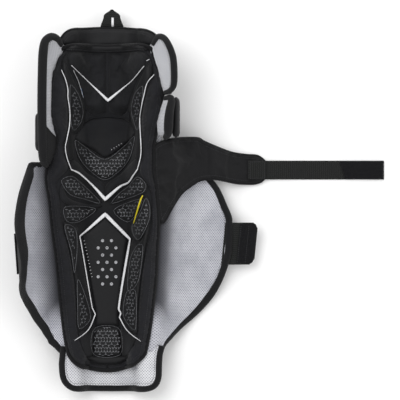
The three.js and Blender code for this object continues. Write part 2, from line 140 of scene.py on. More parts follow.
def inside(points, path):
    """Which of the points lie inside a closed path, in the plane."""
    points = np.asarray(points, float)
    hit = np.zeros(len(points), bool)
    x, y = points[:, 0], points[:, 1]
    for (x1, y1), (x2, y2) in zip(path, np.roll(path, -1, axis=0)):
        if y1 == y2:
            continue
        crosses = ((y1 > y) != (y2 > y)) & (x < (x2 - x1) * (y - y1) / (y2 - y1) + x1)
        hit ^= crosses
    return hit


def length_along(path):
    """The distance along a path from its first point to each of its points."""
    return np.concatenate([[0], np.cumsum(np.linalg.norm(np.diff(path, axis=0), axis=1))])


def row_lengths(grid):
    """The same for each row of a grid of points."""
    return np.array([length_along(row) for row in grid])


def ripple(x, y, scale, seed=0.0):
    """Smooth noise of about plus or minus one, the same on every run."""
    return np.array([noise.noise((a / scale, b / scale, seed)) for a, b in zip(np.ravel(x), np.ravel(y))])


# ---------------------------------------------------------------- the guard's own surfaces

hinge_half = curve([(-226, 64), (-197, 66), (30, 81), (45, 82), (62, 76), (90, 77), (140, 80), (205, 76)])
shoulder_z = curve([(-226, 30.7), (-197, 33), (30, 50.8), (45, 52), (130, 57), (205, 50)])
floor_z = curve([(-226, 4.5), (-197, 3.3), (10, 3.3), (34, 7.3), (52, 7.3), (75, 3.3), (130, 3.3), (204, 14)])
floor_bend = curve([(-226, 22), (-120, 28), (205, 30)])
rim_bend = curve([(-226, 8), (-120, 11), (205, 12)])
SHOULDER = 14.0
CAP_GAP, CAP_THICK = 0.5, 2.8
WALL_TILT = math.radians(70)
LINING_TOP = 6.8


def channel(q, y, d):
    """The base's cross-section: |q| from 0 to 1 is the floor, to 2 its bend, to 3 the wall, to 4 the rim and
    to 5 the shoulder. d is the height over the foam's underside."""
    q, y, d = np.broadcast_arrays(np.asarray(q, float), np.asarray(y, float), np.asarray(d, float))
    a = np.abs(q)
    sin, cos = math.sin(WALL_TILT), math.cos(WALL_TILT)
    low, inner, outer = floor_z(y), floor_bend(y), rim_bend(y)
    wall = (shoulder_z(y) - low - (inner + outer) * (1 - cos)) / sin
    flat = hinge_half(y) - SHOULDER - (inner + outer) * sin - wall * cos
    up = WALL_TILT * clip01(a - 1)
    tilt = up - WALL_TILT * clip01(a - 3)
    x = flat * clip01(a) + inner * np.sin(up) + wall * cos * clip01(a - 2)
    z = low + inner * (1 - np.cos(up)) + wall * sin * clip01(a - 2)
    past = (a > 3).astype(float)
    x = x + outer * (sin - np.sin(tilt)) * past + SHOULDER * clip01(a - 4)
    z = z + outer * (np.cos(tilt) - cos) * past
    side = np.where(q < 0, -1.0, 1.0)
    return np.stack([side * (x - d * np.sin(tilt)), y, z + d * np.cos(tilt)], axis=-1)


# ---------------------------------------------------------------- mesh helpers

def mesh_piece(name, points, faces, material, uv=None):
    """A new object from points in millimetres. uv is one pair for each point, in millimetres too."""
    points = np.asarray(points, float).reshape(-1, 3)
    co = (points + np.array([GUARD_X, 0, 0])) * MM
    data = bpy.data.meshes.new(name)
    data.from_pydata([tuple(c) for c in co], [], [tuple(int(i) for i in f) for f in faces])
    data.materials.append(material)
    if uv is not None:
        uv = np.asarray(uv, float).reshape(-1, 2)
        layer = data.uv_layers.new(name="UVMap")
        loops = np.zeros(len(data.loops), int)
        data.loops.foreach_get("vertex_index", loops)
        layer.data.foreach_set("uv", uv[loops].ravel())
    data.polygons.foreach_set("use_smooth", [True] * len(data.polygons))
    data.validate()
    piece = bpy.data.objects.new(name, data)
    scene.collection.objects.link(piece)
    return piece


def grid_faces(nu, nv, start=0, wrap_u=False, wrap_v=False, flip=False):
    """The four-sided faces of a grid of nu by nv points, numbered from start."""
    faces = []
    for i in range(nu if wrap_u else nu - 1):
        for j in range(nv if wrap_v else nv - 1):
            k, m = (i + 1) % nu, (j + 1) % nv
            f = (start + i * nv + j, start + k * nv + j, start + k * nv + m, start + i * nv + m)
            faces.append(f[::-1] if flip else f)
    return faces


def closed_piece(name, top, bottom, material, uv=None):
    """A closed slab between two grids of points of the same size."""
    nu, nv = top.shape[:2]
    n = nu * nv
    faces = grid_faces(nu, nv) + grid_faces(nu, nv, start=n, flip=True)
    for i in range(nu - 1):
        a, b = i * nv, (i + 1) * nv
        faces.append((b, a, n + a, n + b))
        a, b = a + nv - 1, b + nv - 1
        faces.append((a, b, n + b, n + a))
    for j in range(nv - 1):
        faces.append((j, j + 1, n + j + 1, n + j))
        a = (nu - 1) * nv + j
        faces.append((a + 1, a, n + a, n + a + 1))
    both = np.concatenate([top.reshape(-1, 3), bottom.reshape(-1, 3)])
    if uv is not None:
        uv = np.concatenate([np.asarray(uv).reshape(-1, 2)] * 2)
    piece = mesh_piece(name, both, faces, material, uv)
    outwards(piece)
    return piece


def outwards(piece):
    """Turns all of a closed piece's faces outwards."""
    bm = bmesh.new()
    bm.from_mesh(piece.data)
    bmesh.ops.recalc_face_normals(bm, faces=bm.faces)
    bm.to_mesh(piece.data)
    bm.free()


def tube(name, path, width, height, material, ups=None, sides=10, closed=False):
    """A padded strip swept along a path: width and height are half sizes, numbers or one for each point."""
    path = np.asarray(path, float)
    n = len(path)
    width = np.broadcast_to(np.asarray(width, float), (n,))
    height = np.broadcast_to(np.asarray(height, float), (n,))
    if closed:
        tangent = np.roll(path, -1, axis=0) - np.roll(path, 1, axis=0)
    else:
        tangent = np.gradient(path, axis=0)
    tangent /= np.maximum(np.linalg.norm(tangent, axis=1), 1e-9)[:, None]
    up = np.array([[0, 0, 1.0]] * n) if ups is None else np.asarray(ups, float)
    up = up - tangent * np.sum(up * tangent, axis=1)[:, None]
    up /= np.maximum(np.linalg.norm(up, axis=1), 1e-9)[:, None]
    across = np.cross(tangent, up)
    angle = np.arange(sides) * 2 * math.pi / sides
    rings = (
        path[:, None, :] + across[:, None, :] * (width[:, None] * np.cos(angle))[:, :, None]
        + up[:, None, :] * (height[:, None] * np.sin(angle))[:, :, None]
    )
    along = length_along(path)
    around = angle * float(np.mean(width) + np.mean(height)) / 2
    uv = np.stack([np.broadcast_to(along[:, None], (n, sides)), np.broadcast_to(around, (n, sides))], axis=-1)
    faces = grid_faces(n, sides, wrap_u=closed, wrap_v=True)
    points = rings.reshape(-1, 3)
    uv = uv.reshape(-1, 2)
    if not closed:
        points = np.concatenate([points, [path[0]], [path[-1]]])
        uv = np.concatenate([uv, [[0, 0]], [[along[-1], 0]]])
        for j in range(sides):
            k = (j + 1) % sides
            faces.append((n * sides, k, j))
            faces.append((n * sides + 1, (n - 1) * sides + j, (n - 1) * sides + k))
    piece = mesh_piece(name, points, faces, material, uv)
    outwards(piece)
    return piece


def point(x, y, z):
    """A place in metres, for the rays and the strap bands' ends."""
    return ((x + GUARD_X) * MM, y * MM, z * MM)


PRESSURE, SWELL_FRAMES = 4.0, 20


def inflate(piece, held, cap, spare=0.05, even=0):
    """Blows a pad up as cloth, sewn down at the held points, and keeps its new shape and wrinkles.
    cap is how far a point may move, in millimetres; spare is how much larger the cloth is than its place;
    even is how many times each point's move is averaged with its neighbours'."""
    data = piece.data
    start = np.empty(len(data.vertices) * 3)
    data.vertices.foreach_get("co", start)
    group = piece.vertex_groups.new(name="sewn")
    group.add([int(i) for i in held], 1.0, "REPLACE")
    swelling = piece.modifiers.new("cloth", "CLOTH")
    settings = swelling.settings
    settings.quality = 6
    settings.mass = 0.3
    settings.tension_stiffness = settings.compression_stiffness = 14
    settings.shear_stiffness = 5
    settings.bending_stiffness = 0.35
    settings.use_pressure = True
    settings.uniform_pressure_force = PRESSURE
    settings.shrink_min = -spare
    settings.vertex_group_mass = "sewn"
    settings.effector_weights.gravity = 0
    swelling.point_cache.frame_start = 1
    swelling.point_cache.frame_end = SWELL_FRAMES
    for frame_number in range(1, SWELL_FRAMES + 1):
        scene.frame_set(frame_number)
    shaped = piece.evaluated_get(bpy.context.evaluated_depsgraph_get()).data
    end = np.empty(len(shaped.vertices) * 3)
    shaped.vertices.foreach_get("co", end)
    piece.modifiers.remove(swelling)
    piece.vertex_groups.remove(group)
    scene.frame_set(1)
    move = (end - start).reshape(-1, 3)
    length = np.linalg.norm(move, axis=1)
    move *= np.minimum(1, cap * MM / np.maximum(length, 1e-9))[:, None]
    edges = np.array([e.vertices[:] for e in data.edges])
    for _ in range(even):
        total, count = move.copy(), np.ones(len(move))
        for a, b in ((0, 1), (1, 0)):
            np.add.at(total, edges[:, a], move[edges[:, b]])
            np.add.at(count, edges[:, a], 1)
        move = total / count[:, None]
        move[held] = 0
    data.vertices.foreach_set("co", start + move.ravel())
    data.update()


def surface_under(path, pieces, lift):
    """The path's points moved in height to lie on the pieces under them."""
    trees = []
    for p in pieces:
        co = [v.co for v in p.data.vertices]
        trees.append(BVHTree.FromPolygons(co, [f.vertices for f in p.data.polygons]))
    out = []
    for x, y, z in path:
        hits = [t.ray_cast(Vector(point(x, y, 200)), Vector((0, 0, -1)))[0] for t in trees]
        tops = [h.z / MM + lift for h in hits if h is not None]
        out.append((x, y, max(tops) if tops else z))
    return np.array(out)


# ---------------------------------------------------------------- materials

class Nodes:
    """A short way to write node trees."""

    def __init__(self, name):
        self.material = bpy.data.materials.new(name)
        self.material.use_nodes = True
        self.tree = self.material.node_tree
        self.shader = self.tree.nodes["Principled BSDF"]

    def add(self, kind, attributes=None, **inputs):
        node = self.tree.nodes.new(kind)
        for key, value in (attributes or {}).items():
            setattr(node, key, value)
        for key, value in inputs.items():
            self.put(node, key.replace("_", " "), value)
        return node

    def put(self, node, socket, value):
        target = node.inputs[int(socket) if str(socket).isdigit() else socket]
        if isinstance(value, bpy.types.NodeSocket):
            self.tree.links.new(value, target)
        else:
            target.default_value = value

    def math(self, operation, a, b=None):
        node = self.tree.nodes.new("ShaderNodeMath")
        node.operation = operation
        for i, v in enumerate((a, b)):
            if v is not None:
                self.put(node, i, v)
        return node.outputs[0]

    def coordinates(self, kind, scale):
        where = self.add("ShaderNodeTexCoord").outputs[kind]
        mapping = self.add("ShaderNodeMapping")
        self.put(mapping, "Vector", where)
        mapping.inputs["Scale"].default_value = scale
        return mapping.outputs["Vector"]

    def in_millimetres(self):
        return self.coordinates("Object", (1000, 1000, 1000))

    def noise(self, vector, scale, detail=3.0, roughness=0.5):
        node = self.add("ShaderNodeTexNoise")
        self.put(node, "Vector", vector)
        self.put(node, "Scale", scale)
        self.put(node, "Detail", detail)
        self.put(node, "Roughness", roughness)
        return node.outputs["Fac"]

    def ramp(self, value, low, high, to_low, to_high):
        node = self.add("ShaderNodeMapRange", {"interpolation_type": "SMOOTHSTEP"})
        for key, v in zip(("Value", "From Min", "From Max", "To Min", "To Max"),
                          (value, low, high, to_low, to_high)):
            self.put(node, key, v)
        return node.outputs["Result"]

    def mix(self, factor, a, b):
        node = self.add("ShaderNodeMix", {"data_type": "RGBA"})
        self.put(node, 0, factor)
        node.inputs[6].default_value = (*a, 1)
        node.inputs[7].default_value = (*b, 1)
        return node.outputs[2]

    def bump(self, height, strength, distance=0.001, under=None):
        node = self.add("ShaderNodeBump")
        self.put(node, "Height", height)
        self.put(node, "Strength", strength)
        self.put(node, "Distance", distance)
        if under is not None:
            self.put(node, "Normal", under)
        return node.outputs["Normal"]

    def finish(self, color=None, roughness=None, normal=None, **fixed):
        if color is not None:
            self.put(self.shader, "Base Color", color)
        if roughness is not None:
            self.put(self.shader, "Roughness", roughness)
        if normal is not None:
            self.put(self.shader, "Normal", normal)
        for key, value in fixed.items():
            self.put(self.shader, key.replace("_", " "), value)
        return self.material


def weave(nodes, vector, pitch_x, pitch_y):
    """The height of a plain weave, with its threads pitch apart along the first two coordinates."""
    split = nodes.add("ShaderNodeSeparateXYZ")
    nodes.put(split, "Vector", vector)
    u = nodes.math("MULTIPLY", split.outputs[0], math.pi / pitch_x)
    v = nodes.math("MULTIPLY", split.outputs[1], math.pi / pitch_y)
    over = nodes.math("MULTIPLY", nodes.math("SINE", u), nodes.math("SINE", v))
    thread_u = nodes.math("ABSOLUTE", nodes.math("COSINE", u))
    thread_v = nodes.math("ABSOLUTE", nodes.math("COSINE", v))
    return nodes.math("ADD", nodes.math("MULTIPLY", over, 0.5),
                      nodes.math("MULTIPLY", nodes.math("ADD", thread_u, thread_v), -0.3))


def cloth(name, dark, light, pitch, strength=0.5, sheen=0.25, rough=(0.7, 0.9)):
    """A woven or knitted cloth of two near shades, its threads pitch millimetres apart."""
    n = Nodes(name)
    v = n.in_millimetres()
    height = weave(n, v, pitch, pitch)
    patchy = n.noise(v, 0.035, 4.0, 0.6)
    fuzz = n.noise(v, 1.9, 2.0)
    shade = n.math("ADD", n.math("MULTIPLY", patchy, 0.75), n.math("MULTIPLY", fuzz, 0.25))
    color = n.mix(n.ramp(shade, 0.3, 0.72, 0.0, 1.0), dark, light)
    normal = n.bump(height, strength, 0.0002)
    normal = n.bump(n.noise(v, 0.12, 4.0, 0.6), 0.35, 0.0012, under=normal)
    return n.finish(color, n.ramp(patchy, 0.3, 0.7, *rough), normal, Sheen_Weight=sheen, Sheen_Roughness=0.5,
                    Specular_IOR_Level=0.22)


def spacer_mesh(name="spacer_mesh", threads=((0.47, 0.475, 0.51), (0.60, 0.605, 0.64)),
                opening=(0.17, 0.175, 0.20), worn=None):
    """Light spacer mesh: rows of small dark openings in a rounded knit, with painted shade towards the liner
    where a span is given.
    """
    n = Nodes(name)
    v = n.coordinates("UV", (1, 1, 1))
    split = n.add("ShaderNodeSeparateXYZ")
    n.put(split, "Vector", v)
    PITCH_U, PITCH_V = 3.6, 1.9
    CELLS = 4000  # added so that the cells' numbers are never negative
    row = n.math("ADD", n.math("DIVIDE", split.outputs[1], PITCH_V), CELLS)
    odd = n.math("MULTIPLY", n.math("MODULO", n.math("FLOOR", row), 2.0), 0.5)
    column = n.math("ADD", n.math("DIVIDE", split.outputs[0], PITCH_U), n.math("ADD", odd, CELLS))
    u = n.math("SUBTRACT", n.math("FRACT", column), 0.5)
    w = n.math("SUBTRACT", n.math("FRACT", row), 0.5)
    u_squared = n.math("POWER", n.math("MULTIPLY", u, 1.15), 2.0)
    w_squared = n.math("POWER", n.math("MULTIPLY", w, 0.75), 2.0)
    far = n.math("SQRT", n.math("ADD", u_squared, w_squared))
    wobble = n.math("MULTIPLY", n.math("SUBTRACT", n.noise(v, 0.55, 2.0), 0.5), 0.10)
    far = n.math("ADD", far, wobble)
    solid = n.ramp(far, 0.14, 0.34, 0.0, 1.0)
    patchy = n.noise(v, 0.02, 3.0, 0.6)
    thread = n.mix(n.ramp(patchy, 0.3, 0.7, 0.0, 1.0), *threads)
    mixed = n.add("ShaderNodeMix", {"data_type": "RGBA"})
    n.put(mixed, 0, solid)
    mixed.inputs[6].default_value = (*opening, 1)
    n.put(mixed, 7, thread)
    if worn:
        # painted shade: over the given span across its width, nearest the liner, the cloth is painted dark
        # for the shadow of the liner's roll; its ankle end is left unshaded
        UNSHADED_FROM, UNSHADED_TO = -168, -128
        painted_shade = n.add("ShaderNodeMix", {"data_type": "RGBA"})
        unshaded = n.ramp(split.outputs[1], UNSHADED_FROM, UNSHADED_TO, 1.0, 0.0)
        n.put(painted_shade, 0, n.math("MAXIMUM", n.ramp(split.outputs[0], *worn, 0.0, 1.0), unshaded))
        painted_shade.inputs[6].default_value = (0.034, 0.035, 0.042, 1)
        n.put(painted_shade, 7, mixed.outputs[2])
        mixed = painted_shade
    height = n.math("ADD", n.math("MULTIPLY", solid, 0.8), n.math("MULTIPLY", n.noise(v, 2.5, 2.0), 0.2))
    normal = n.bump(height, 0.6, 0.0006)
    normal = n.bump(n.noise(v, 0.05, 3.0), 0.3, 0.003, under=normal)
    return n.finish(mixed.outputs[2], 0.8, normal, Sheen_Weight=0.15, Specular_IOR_Level=0.25)


def ribbed(name, dark, light, pitch, strength=0.8, across=0, cross_pitch=1.6):
    """Tape or webbing with ribs across its length; its UVs run along it in millimetres."""
    n = Nodes(name)
    v = n.coordinates("UV", (1, 1, 1))
    split = n.add("ShaderNodeSeparateXYZ")
    n.put(split, "Vector", v)
    along = n.math("MULTIPLY", split.outputs[across], 2 * math.pi / pitch)
    side = n.math("MULTIPLY", split.outputs[1 - across], 2 * math.pi / cross_pitch)
    rib = n.math("SINE", n.math("ADD", along, n.math("MULTIPLY", n.math("SINE", side), 0.9)))
    fuzz = n.noise(v, 1.3, 3.0)
    # the ribs' crests are painted lighter and their troughs darker: painted light and shade, over a random
    # fuzz
    color = n.mix(n.ramp(n.math("ADD", n.math("MULTIPLY", rib, 0.35), fuzz), 0.2, 1.0, 0.0, 1.0), dark, light)
    normal = n.bump(rib, strength, 0.0004)
    normal = n.bump(fuzz, 0.4, 0.0004, under=normal)
    return n.finish(color, 0.8, normal, Sheen_Weight=0.06, Specular_IOR_Level=0.22)


def hook_tape():
    """Black hook and loop tape: small tufts with fuzz."""
    n = Nodes("hook_and_loop")
    v = n.in_millimetres()
    cells = n.add("ShaderNodeTexVoronoi")
    n.put(cells, "Vector", v)
    n.put(cells, "Scale", 1.1)
    tuft = n.math("SUBTRACT", 1.0, cells.outputs["Distance"])
    fuzz = n.noise(v, 2.6, 3.0, 0.7)
    both = n.math("ADD", n.math("MULTIPLY", tuft, 0.6), n.math("MULTIPLY", fuzz, 0.6))
    # the tufts' tops are painted lighter and the gaps between them darker: painted light and shade, over a
    # random fuzz
    color = n.mix(n.ramp(both, 0.45, 1.0, 0.0, 1.0), (0.003, 0.003, 0.004), (0.017, 0.017, 0.019))
    return n.finish(color, 0.92, n.bump(both, 0.9, 0.0009), Sheen_Weight=0.08, Specular_IOR_Level=0.15)


def trim(name, dark, light, rough=0.55):
    """Printed or piped trim with small rubbed-off spots."""
    n = Nodes(name)
    v = n.in_millimetres()
    wear = n.noise(v, 0.5, 4.0, 0.7)
    color = n.mix(n.ramp(wear, 0.36, 0.5, 0.0, 1.0), dark, light)
    return n.finish(color, rough, n.bump(n.noise(v, 2.2, 2.0), 0.3, 0.0002))


def moulded():
    """Black moulded plastic with a fine grain and hairline scuffs."""
    n = Nodes("moulded_shell")
    v = n.in_millimetres()
    grain = n.noise(v, 2.8, 2.0)
    stretched = n.coordinates("Object", (900, 60, 400))
    scuff = n.ramp(n.noise(stretched, 1.0, 5.0, 0.7), 0.66, 0.74, 0.0, 1.0)
    cloudy = n.noise(v, 0.02, 3.0)
    color = n.mix(n.math("ADD", n.math("MULTIPLY", cloudy, 0.5), n.math("MULTIPLY", scuff, 0.4)),
                  (0.009, 0.009, 0.010), (0.026, 0.027, 0.030))
    rough = n.math("ADD", n.ramp(cloudy, 0.3, 0.7, 0.24, 0.36), n.math("MULTIPLY", scuff, 0.25))
    return n.finish(color, rough, n.bump(grain, 0.25, 0.0002), Coat_Weight=0.25, Coat_Roughness=0.15)


def metal():
    """Dull rivet metal with spots."""
    n = Nodes("rivet_metal")
    v = n.in_millimetres()
    spots = n.noise(v, 0.8, 4.0, 0.7)
    color = n.mix(n.ramp(spots, 0.35, 0.7, 0.0, 1.0), (0.22, 0.22, 0.23), (0.45, 0.45, 0.47))
    return n.finish(color, n.ramp(spots, 0.3, 0.7, 0.28, 0.45), n.bump(spots, 0.15, 0.0003), Metallic=0.9)


KNIT = cloth("liner_knit", (0.0055, 0.0057, 0.0066), (0.0125, 0.0128, 0.0150), 0.9, 0.45, 0.07)
BOLSTER = cloth("bolster_knit", (0.0055, 0.0056, 0.0070), (0.0125, 0.0127, 0.0160), 0.8, 0.45, 0.09)
NYLON = cloth("woven_nylon", (0.0050, 0.0050, 0.0056), (0.0115, 0.0115, 0.0126), 1.3, 0.7, 0.05)
SMOOTH = cloth("smooth_panel", (0.0060, 0.0061, 0.0068), (0.0110, 0.0112, 0.0125), 0.6, 0.2, 0.04,
               (0.55, 0.7))
MESH = spacer_mesh()
# painted shade: the calf wings' copies of the spacer mesh have darker threads for the shade they lie in, and
# painted shade by the liner over the given span
SHADED_WING_MESH_LEFT = spacer_mesh("spacer_mesh_left", ((0.42, 0.425, 0.475), (0.60, 0.605, 0.66)),
                             (0.12, 0.125, 0.15), (8, 54))
SHADED_WING_MESH_RIGHT = spacer_mesh("spacer_mesh_right", ((0.40, 0.405, 0.45), (0.57, 0.575, 0.62)),
                              (0.15, 0.155, 0.175), (8, 42))
# painted light: this copy, on the knee wings and the ankle flange, has lighter threads for the light they
# catch
PAINTED_LIGHT_MESH = spacer_mesh("spacer_mesh_bright", ((0.60, 0.605, 0.64), (0.76, 0.765, 0.79)),
                          (0.22, 0.225, 0.25))
BINDING = ribbed("binding_tape", (0.0035, 0.0035, 0.0042), (0.0095, 0.0095, 0.0110), 1.1, 0.6)
WEBBING = ribbed("ribbed_webbing", (0.0065, 0.0070, 0.0068), (0.0230, 0.0245, 0.0235), 2.6, 1.2, 0, 3.1)
HOOK = hook_tape()
PIPING = trim("light_piping", (0.50, 0.50, 0.52), (0.80, 0.80, 0.82))
PRINT = trim("pattern_print", (0.060, 0.062, 0.070), (0.21, 0.215, 0.23), 0.7)
PRINT_FINE = trim("fine_print", (0.30, 0.30, 0.32), (0.62, 0.62, 0.64), 0.6)
ACCENT = trim("yellow_accent", (0.55, 0.42, 0.01), (0.80, 0.66, 0.02), 0.5)
BLUE = trim("blue_accent", (0.03, 0.12, 0.30), (0.05, 0.20, 0.48), 0.5)
STITCH = trim("stitching", (0.018, 0.018, 0.020), (0.034, 0.034, 0.038), 0.8)
DOTS = trim("vent_dots", (0.20, 0.20, 0.21), (0.40, 0.40, 0.42), 0.5)
SHELL = moulded()
METAL = metal()


# ---------------------------------------------------------------- camera, light, floor

def stage():
    """A camera straight above, three soft lights and a pale floor."""
    camera = bpy.data.objects.new("camera", bpy.data.cameras.new("camera"))
    scene.collection.objects.link(camera)
    scene.camera = camera
    WIDE = 0.528  # what the frame takes in, at the height of SHARP
    AWAY, SHARP = 3.2, 0.045
    SENSOR = 36
    camera.data.lens = SENSOR * AWAY / WIDE
    camera.data.sensor_width = SENSOR
    camera.data.clip_end = 20
    camera.location = (0, 0, AWAY + SHARP)

    data = bpy.data.meshes.new("floor")
    HALF = 6
    data.from_pydata([(-HALF, -HALF, 0), (HALF, -HALF, 0), (HALF, HALF, 0), (-HALF, HALF, 0)], [],
                     [(0, 1, 2, 3)])
    n = Nodes("pale_floor")
    v = n.coordinates("Object", (1, 1, 1))
    shade = n.mix(n.noise(v, 1.5, 3.0), (0.97, 0.97, 0.97), (0.995, 0.995, 0.995))
    data.materials.append(n.finish(shade, 0.9, n.bump(n.noise(v, 900.0, 2.0), 0.05, 0.0002),
                                   Specular_IOR_Level=0.1))
    floor = bpy.data.objects.new("floor", data)
    scene.collection.objects.link(floor)

    world = bpy.data.worlds.new("studio")
    scene.world = world
    world.use_nodes = True
    sky = world.node_tree.nodes["Background"]
    sky.inputs["Color"].default_value = (1, 1, 1, 1)
    sky.inputs["Strength"].default_value = 0.68

    def light(name, where, size, energy):
        lamp = bpy.data.lights.new(name, "AREA")
        lamp.shape = "RECTANGLE"
        lamp.size, lamp.size_y = size
        lamp.energy = energy
        o = bpy.data.objects.new(name, lamp)
        o.location = where
        o.rotation_euler = (-Vector(where)).to_track_quat("-Z", "Y").to_euler()
        scene.collection.objects.link(o)

    light("key", (-0.9, 0.8, 2.1), (1.5, 1.5), 26)
    light("fill", (1.3, -0.6, 1.7), (1.6, 1.6), 8)
    light("rim", (0.2, 1.9, 0.9), (1.6, 0.5), 7)
    scene.view_settings.view_transform = "Standard"
    scene.view_settings.look = "None"


# ---------------------------------------------------------------- the liner's surface

edge_left = curve([(204, 57), (196, 60), (190, 63), (178, 67), (165, 73), (145, 76), (119, 76), (99, 73),
                   (79, 68), (66, 70), (53, 75), (30, 79), (0, 75), (-40, 71), (-79, 66), (-132, 61),
                   (-178, 56), (-205, 51)])
edge_right = curve([(204, 58), (196, 61), (178, 66), (165, 71), (145, 75), (119, 73), (99, 68), (79, 64),
                    (66, 62), (40, 62), (20, 65), (0, 67), (-26, 69), (-66, 67), (-106, 65), (-132, 62),
                    (-172, 57), (-198, 52), (-205, 50)])
liner_floor = curve([(204, 36), (190, 33), (160, 30), (128, 29), (116, 23), (104, 20), (85, 19.5),
                     (70, 22), (55, 26), (30, 25), (-30, 24), (-150, 23), (-226, 21)])
liner_crown = curve([(206, 66), (190, 73), (165, 77), (110, 79), (45, 76), (-25, 70), (-95, 63),
                     (-165, 56), (-226, 46)])
floor_half = curve([(206, 17), (150, 16), (118, 22), (95, 25), (70, 22), (40, 15), (10, 14), (-30, 24),
                    (-60, 25), (-140, 13), (-180, 15), (-226, 26)])


def liner_z(x, y):
    """The height of the liner's skin, without its seams and pads."""
    x, y = np.asarray(x, float), np.asarray(y, float)
    a = np.abs(x)
    edge = np.where(x < 0, edge_left(y), edge_right(y))
    roll = edge - 15
    base = shoulder_z(y) + LINING_TOP
    crown = liner_crown(y)
    low = liner_floor(y)
    half = floor_half(y)
    t = clip01((a - half) / (roll - half))
    z = low + (crown - low) * t * t * (3 - 2 * t)
    over = clip01((a - roll) / (edge - roll))
    z = z - (crown - base - 5) * (1 - np.sqrt(np.maximum(1 - over * over * 0.96, 0)))
    end = smooth(y, -226, -190)
    return lerp(np.minimum(z, low + 22), z, end)


def liner_normal(path):
    """The liner's outward direction at each point of a path."""
    x, y = path[:, 0], path[:, 1]
    dx = (liner_z(x + 1, y) - liner_z(x - 1, y)) / 2
    dy = (liner_z(x, y + 1) - liner_z(x, y - 1)) / 2
    n = np.column_stack([-dx, -dy, np.ones_like(dx)])
    return n / np.linalg.norm(n, axis=1)[:, None]


def flat_mesh(outline, step):
    """Points and triangles that fill a closed outline, on a grid of about step."""
    low, high = outline.min(axis=0), outline.max(axis=0)
    xs, ys = np.meshgrid(np.arange(low[0], high[0], step), np.arange(low[1], high[1], step), indexing="ij")
    xs = xs + (np.arange(xs.shape[1]) % 2)[None, :] * step / 2
    grid = np.column_stack([xs.ravel(), ys.ravel()])
    grid = grid[inside(grid, outline)]
    grid = grid[distance_to(grid, outline) > step * 0.45]
    points = np.concatenate([outline, grid])
    n = len(outline)
    edges = [(i, (i + 1) % n) for i in range(n)]
    got = delaunay_2d_cdt([Vector(p) for p in points], edges, [], 1, 1e-6)
    verts = np.array([tuple(v) for v in got[0]])
    return verts, [tuple(f) for f in got[2]]


def panel(name, outline, material, thick=4.0, roll=5.0, crown=0.0, step=2.2, lift=0.0, wrinkle=0.35,
          corners=(), swell=0.0):
    """A puffed pad over the surface, with its edge rolled down into the seam."""
    path = spline(outline, step * 0.9, closed=True, corners=corners)
    verts, faces = flat_mesh(path, step)
    x, y = verts[:, 0], verts[:, 1]
    d = distance_to(verts, path)
    t = clip01(d / roll)
    profile = np.sqrt(np.maximum(1 - (1 - t) ** 2, 0))
    z = liner_z(x, y) + lift - thick * (1 - profile)
    z = z + crown * smooth(d / max(d.max(), 1e-6)) + wrinkle * ripple(x, y, 17, 3.0) * t
    rim = np.where(d < 1e-4)[0]
    points = np.column_stack([x, y, z])
    n = len(points)
    # a skirt under the rim
    order = rim[np.argsort([np.argmin(np.linalg.norm(path - verts[i], axis=1)) for i in rim])]
    skirt = points[order] - np.array([0, 0, 3.0])
    faces = list(faces)
    for k in range(len(order)):
        m = (k + 1) % len(order)
        faces.append((order[k], order[m], n + m, n + k))
    piece = mesh_piece(name, np.concatenate([points, skirt]), faces, material,
                       np.concatenate([verts, verts[order]]))
    outwards(piece)
    if swell:
        held = np.concatenate([np.where(d < roll * 0.25)[0], n + np.arange(len(order))])
        inflate(piece, held, swell)
    return piece


def piping(name, path, width, material=PIPING, height=0.7, lift=0.35, corners=()):
    """A raised strip on the liner. width is half its width: a number, or one for each given point."""
    points = np.asarray(path, float)
    widths = np.broadcast_to(np.asarray(width, float), (len(points),))
    smooth_path = spline(np.column_stack([points, widths]), corners=corners)
    xy = smooth_path[:, :2]
    line = np.column_stack([xy, liner_z(xy[:, 0], xy[:, 1]) + lift])
    return tube(name, line, np.maximum(smooth_path[:, 2], 0.15), height, material, liner_normal(xy), sides=8)


# ---------------------------------------------------------------- liner

PIPE_LEFT = [(-58, 170), (-53, 158), (-50, 145), (-50, 135), (-48, 119), (-48, 99), (-51, 79), (-53, 69),
             (-51, 55), (-46, 40)]
PIPE_RIGHT = [(63, 164), (54, 153), (50, 139), (46, 121), (44, 106), (45, 86), (46, 66), (45, 55), (41, 40)]


def liner_outline(inset):
    """The liner's outline seen from above, moved inwards by inset."""
    ys = np.arange(198, -206, -6.0)
    left = [(-(edge_left(y) - inset), y) for y in ys]
    right = [(edge_right(y) - inset, y) for y in ys[::-1]]
    bottom = [(-42, -216), (-29, -223), (-10, -227), (10, -227), (30, -221), (43, -212)]
    top = [(50, 203), (20, 205), (0, 204), (-20, 205), (-48, 203)]
    pull = 1 - inset / 220
    return left + [(x * pull, y + inset) for x, y in bottom] + right + [(x, y - inset) for x, y in top]


def liner_backing():
    """The cloth that all pads are sewn to."""
    path = spline(liner_outline(1.0), 4, closed=True)
    verts, faces = flat_mesh(path, 4.0)
    z = liner_z(verts[:, 0], verts[:, 1]) - 5.5
    z = z - 2.0 * (distance_to(verts, path) < 0.1)
    return [mesh_piece("liner_cloth", np.column_stack([verts, z]), faces, KNIT, verts)]


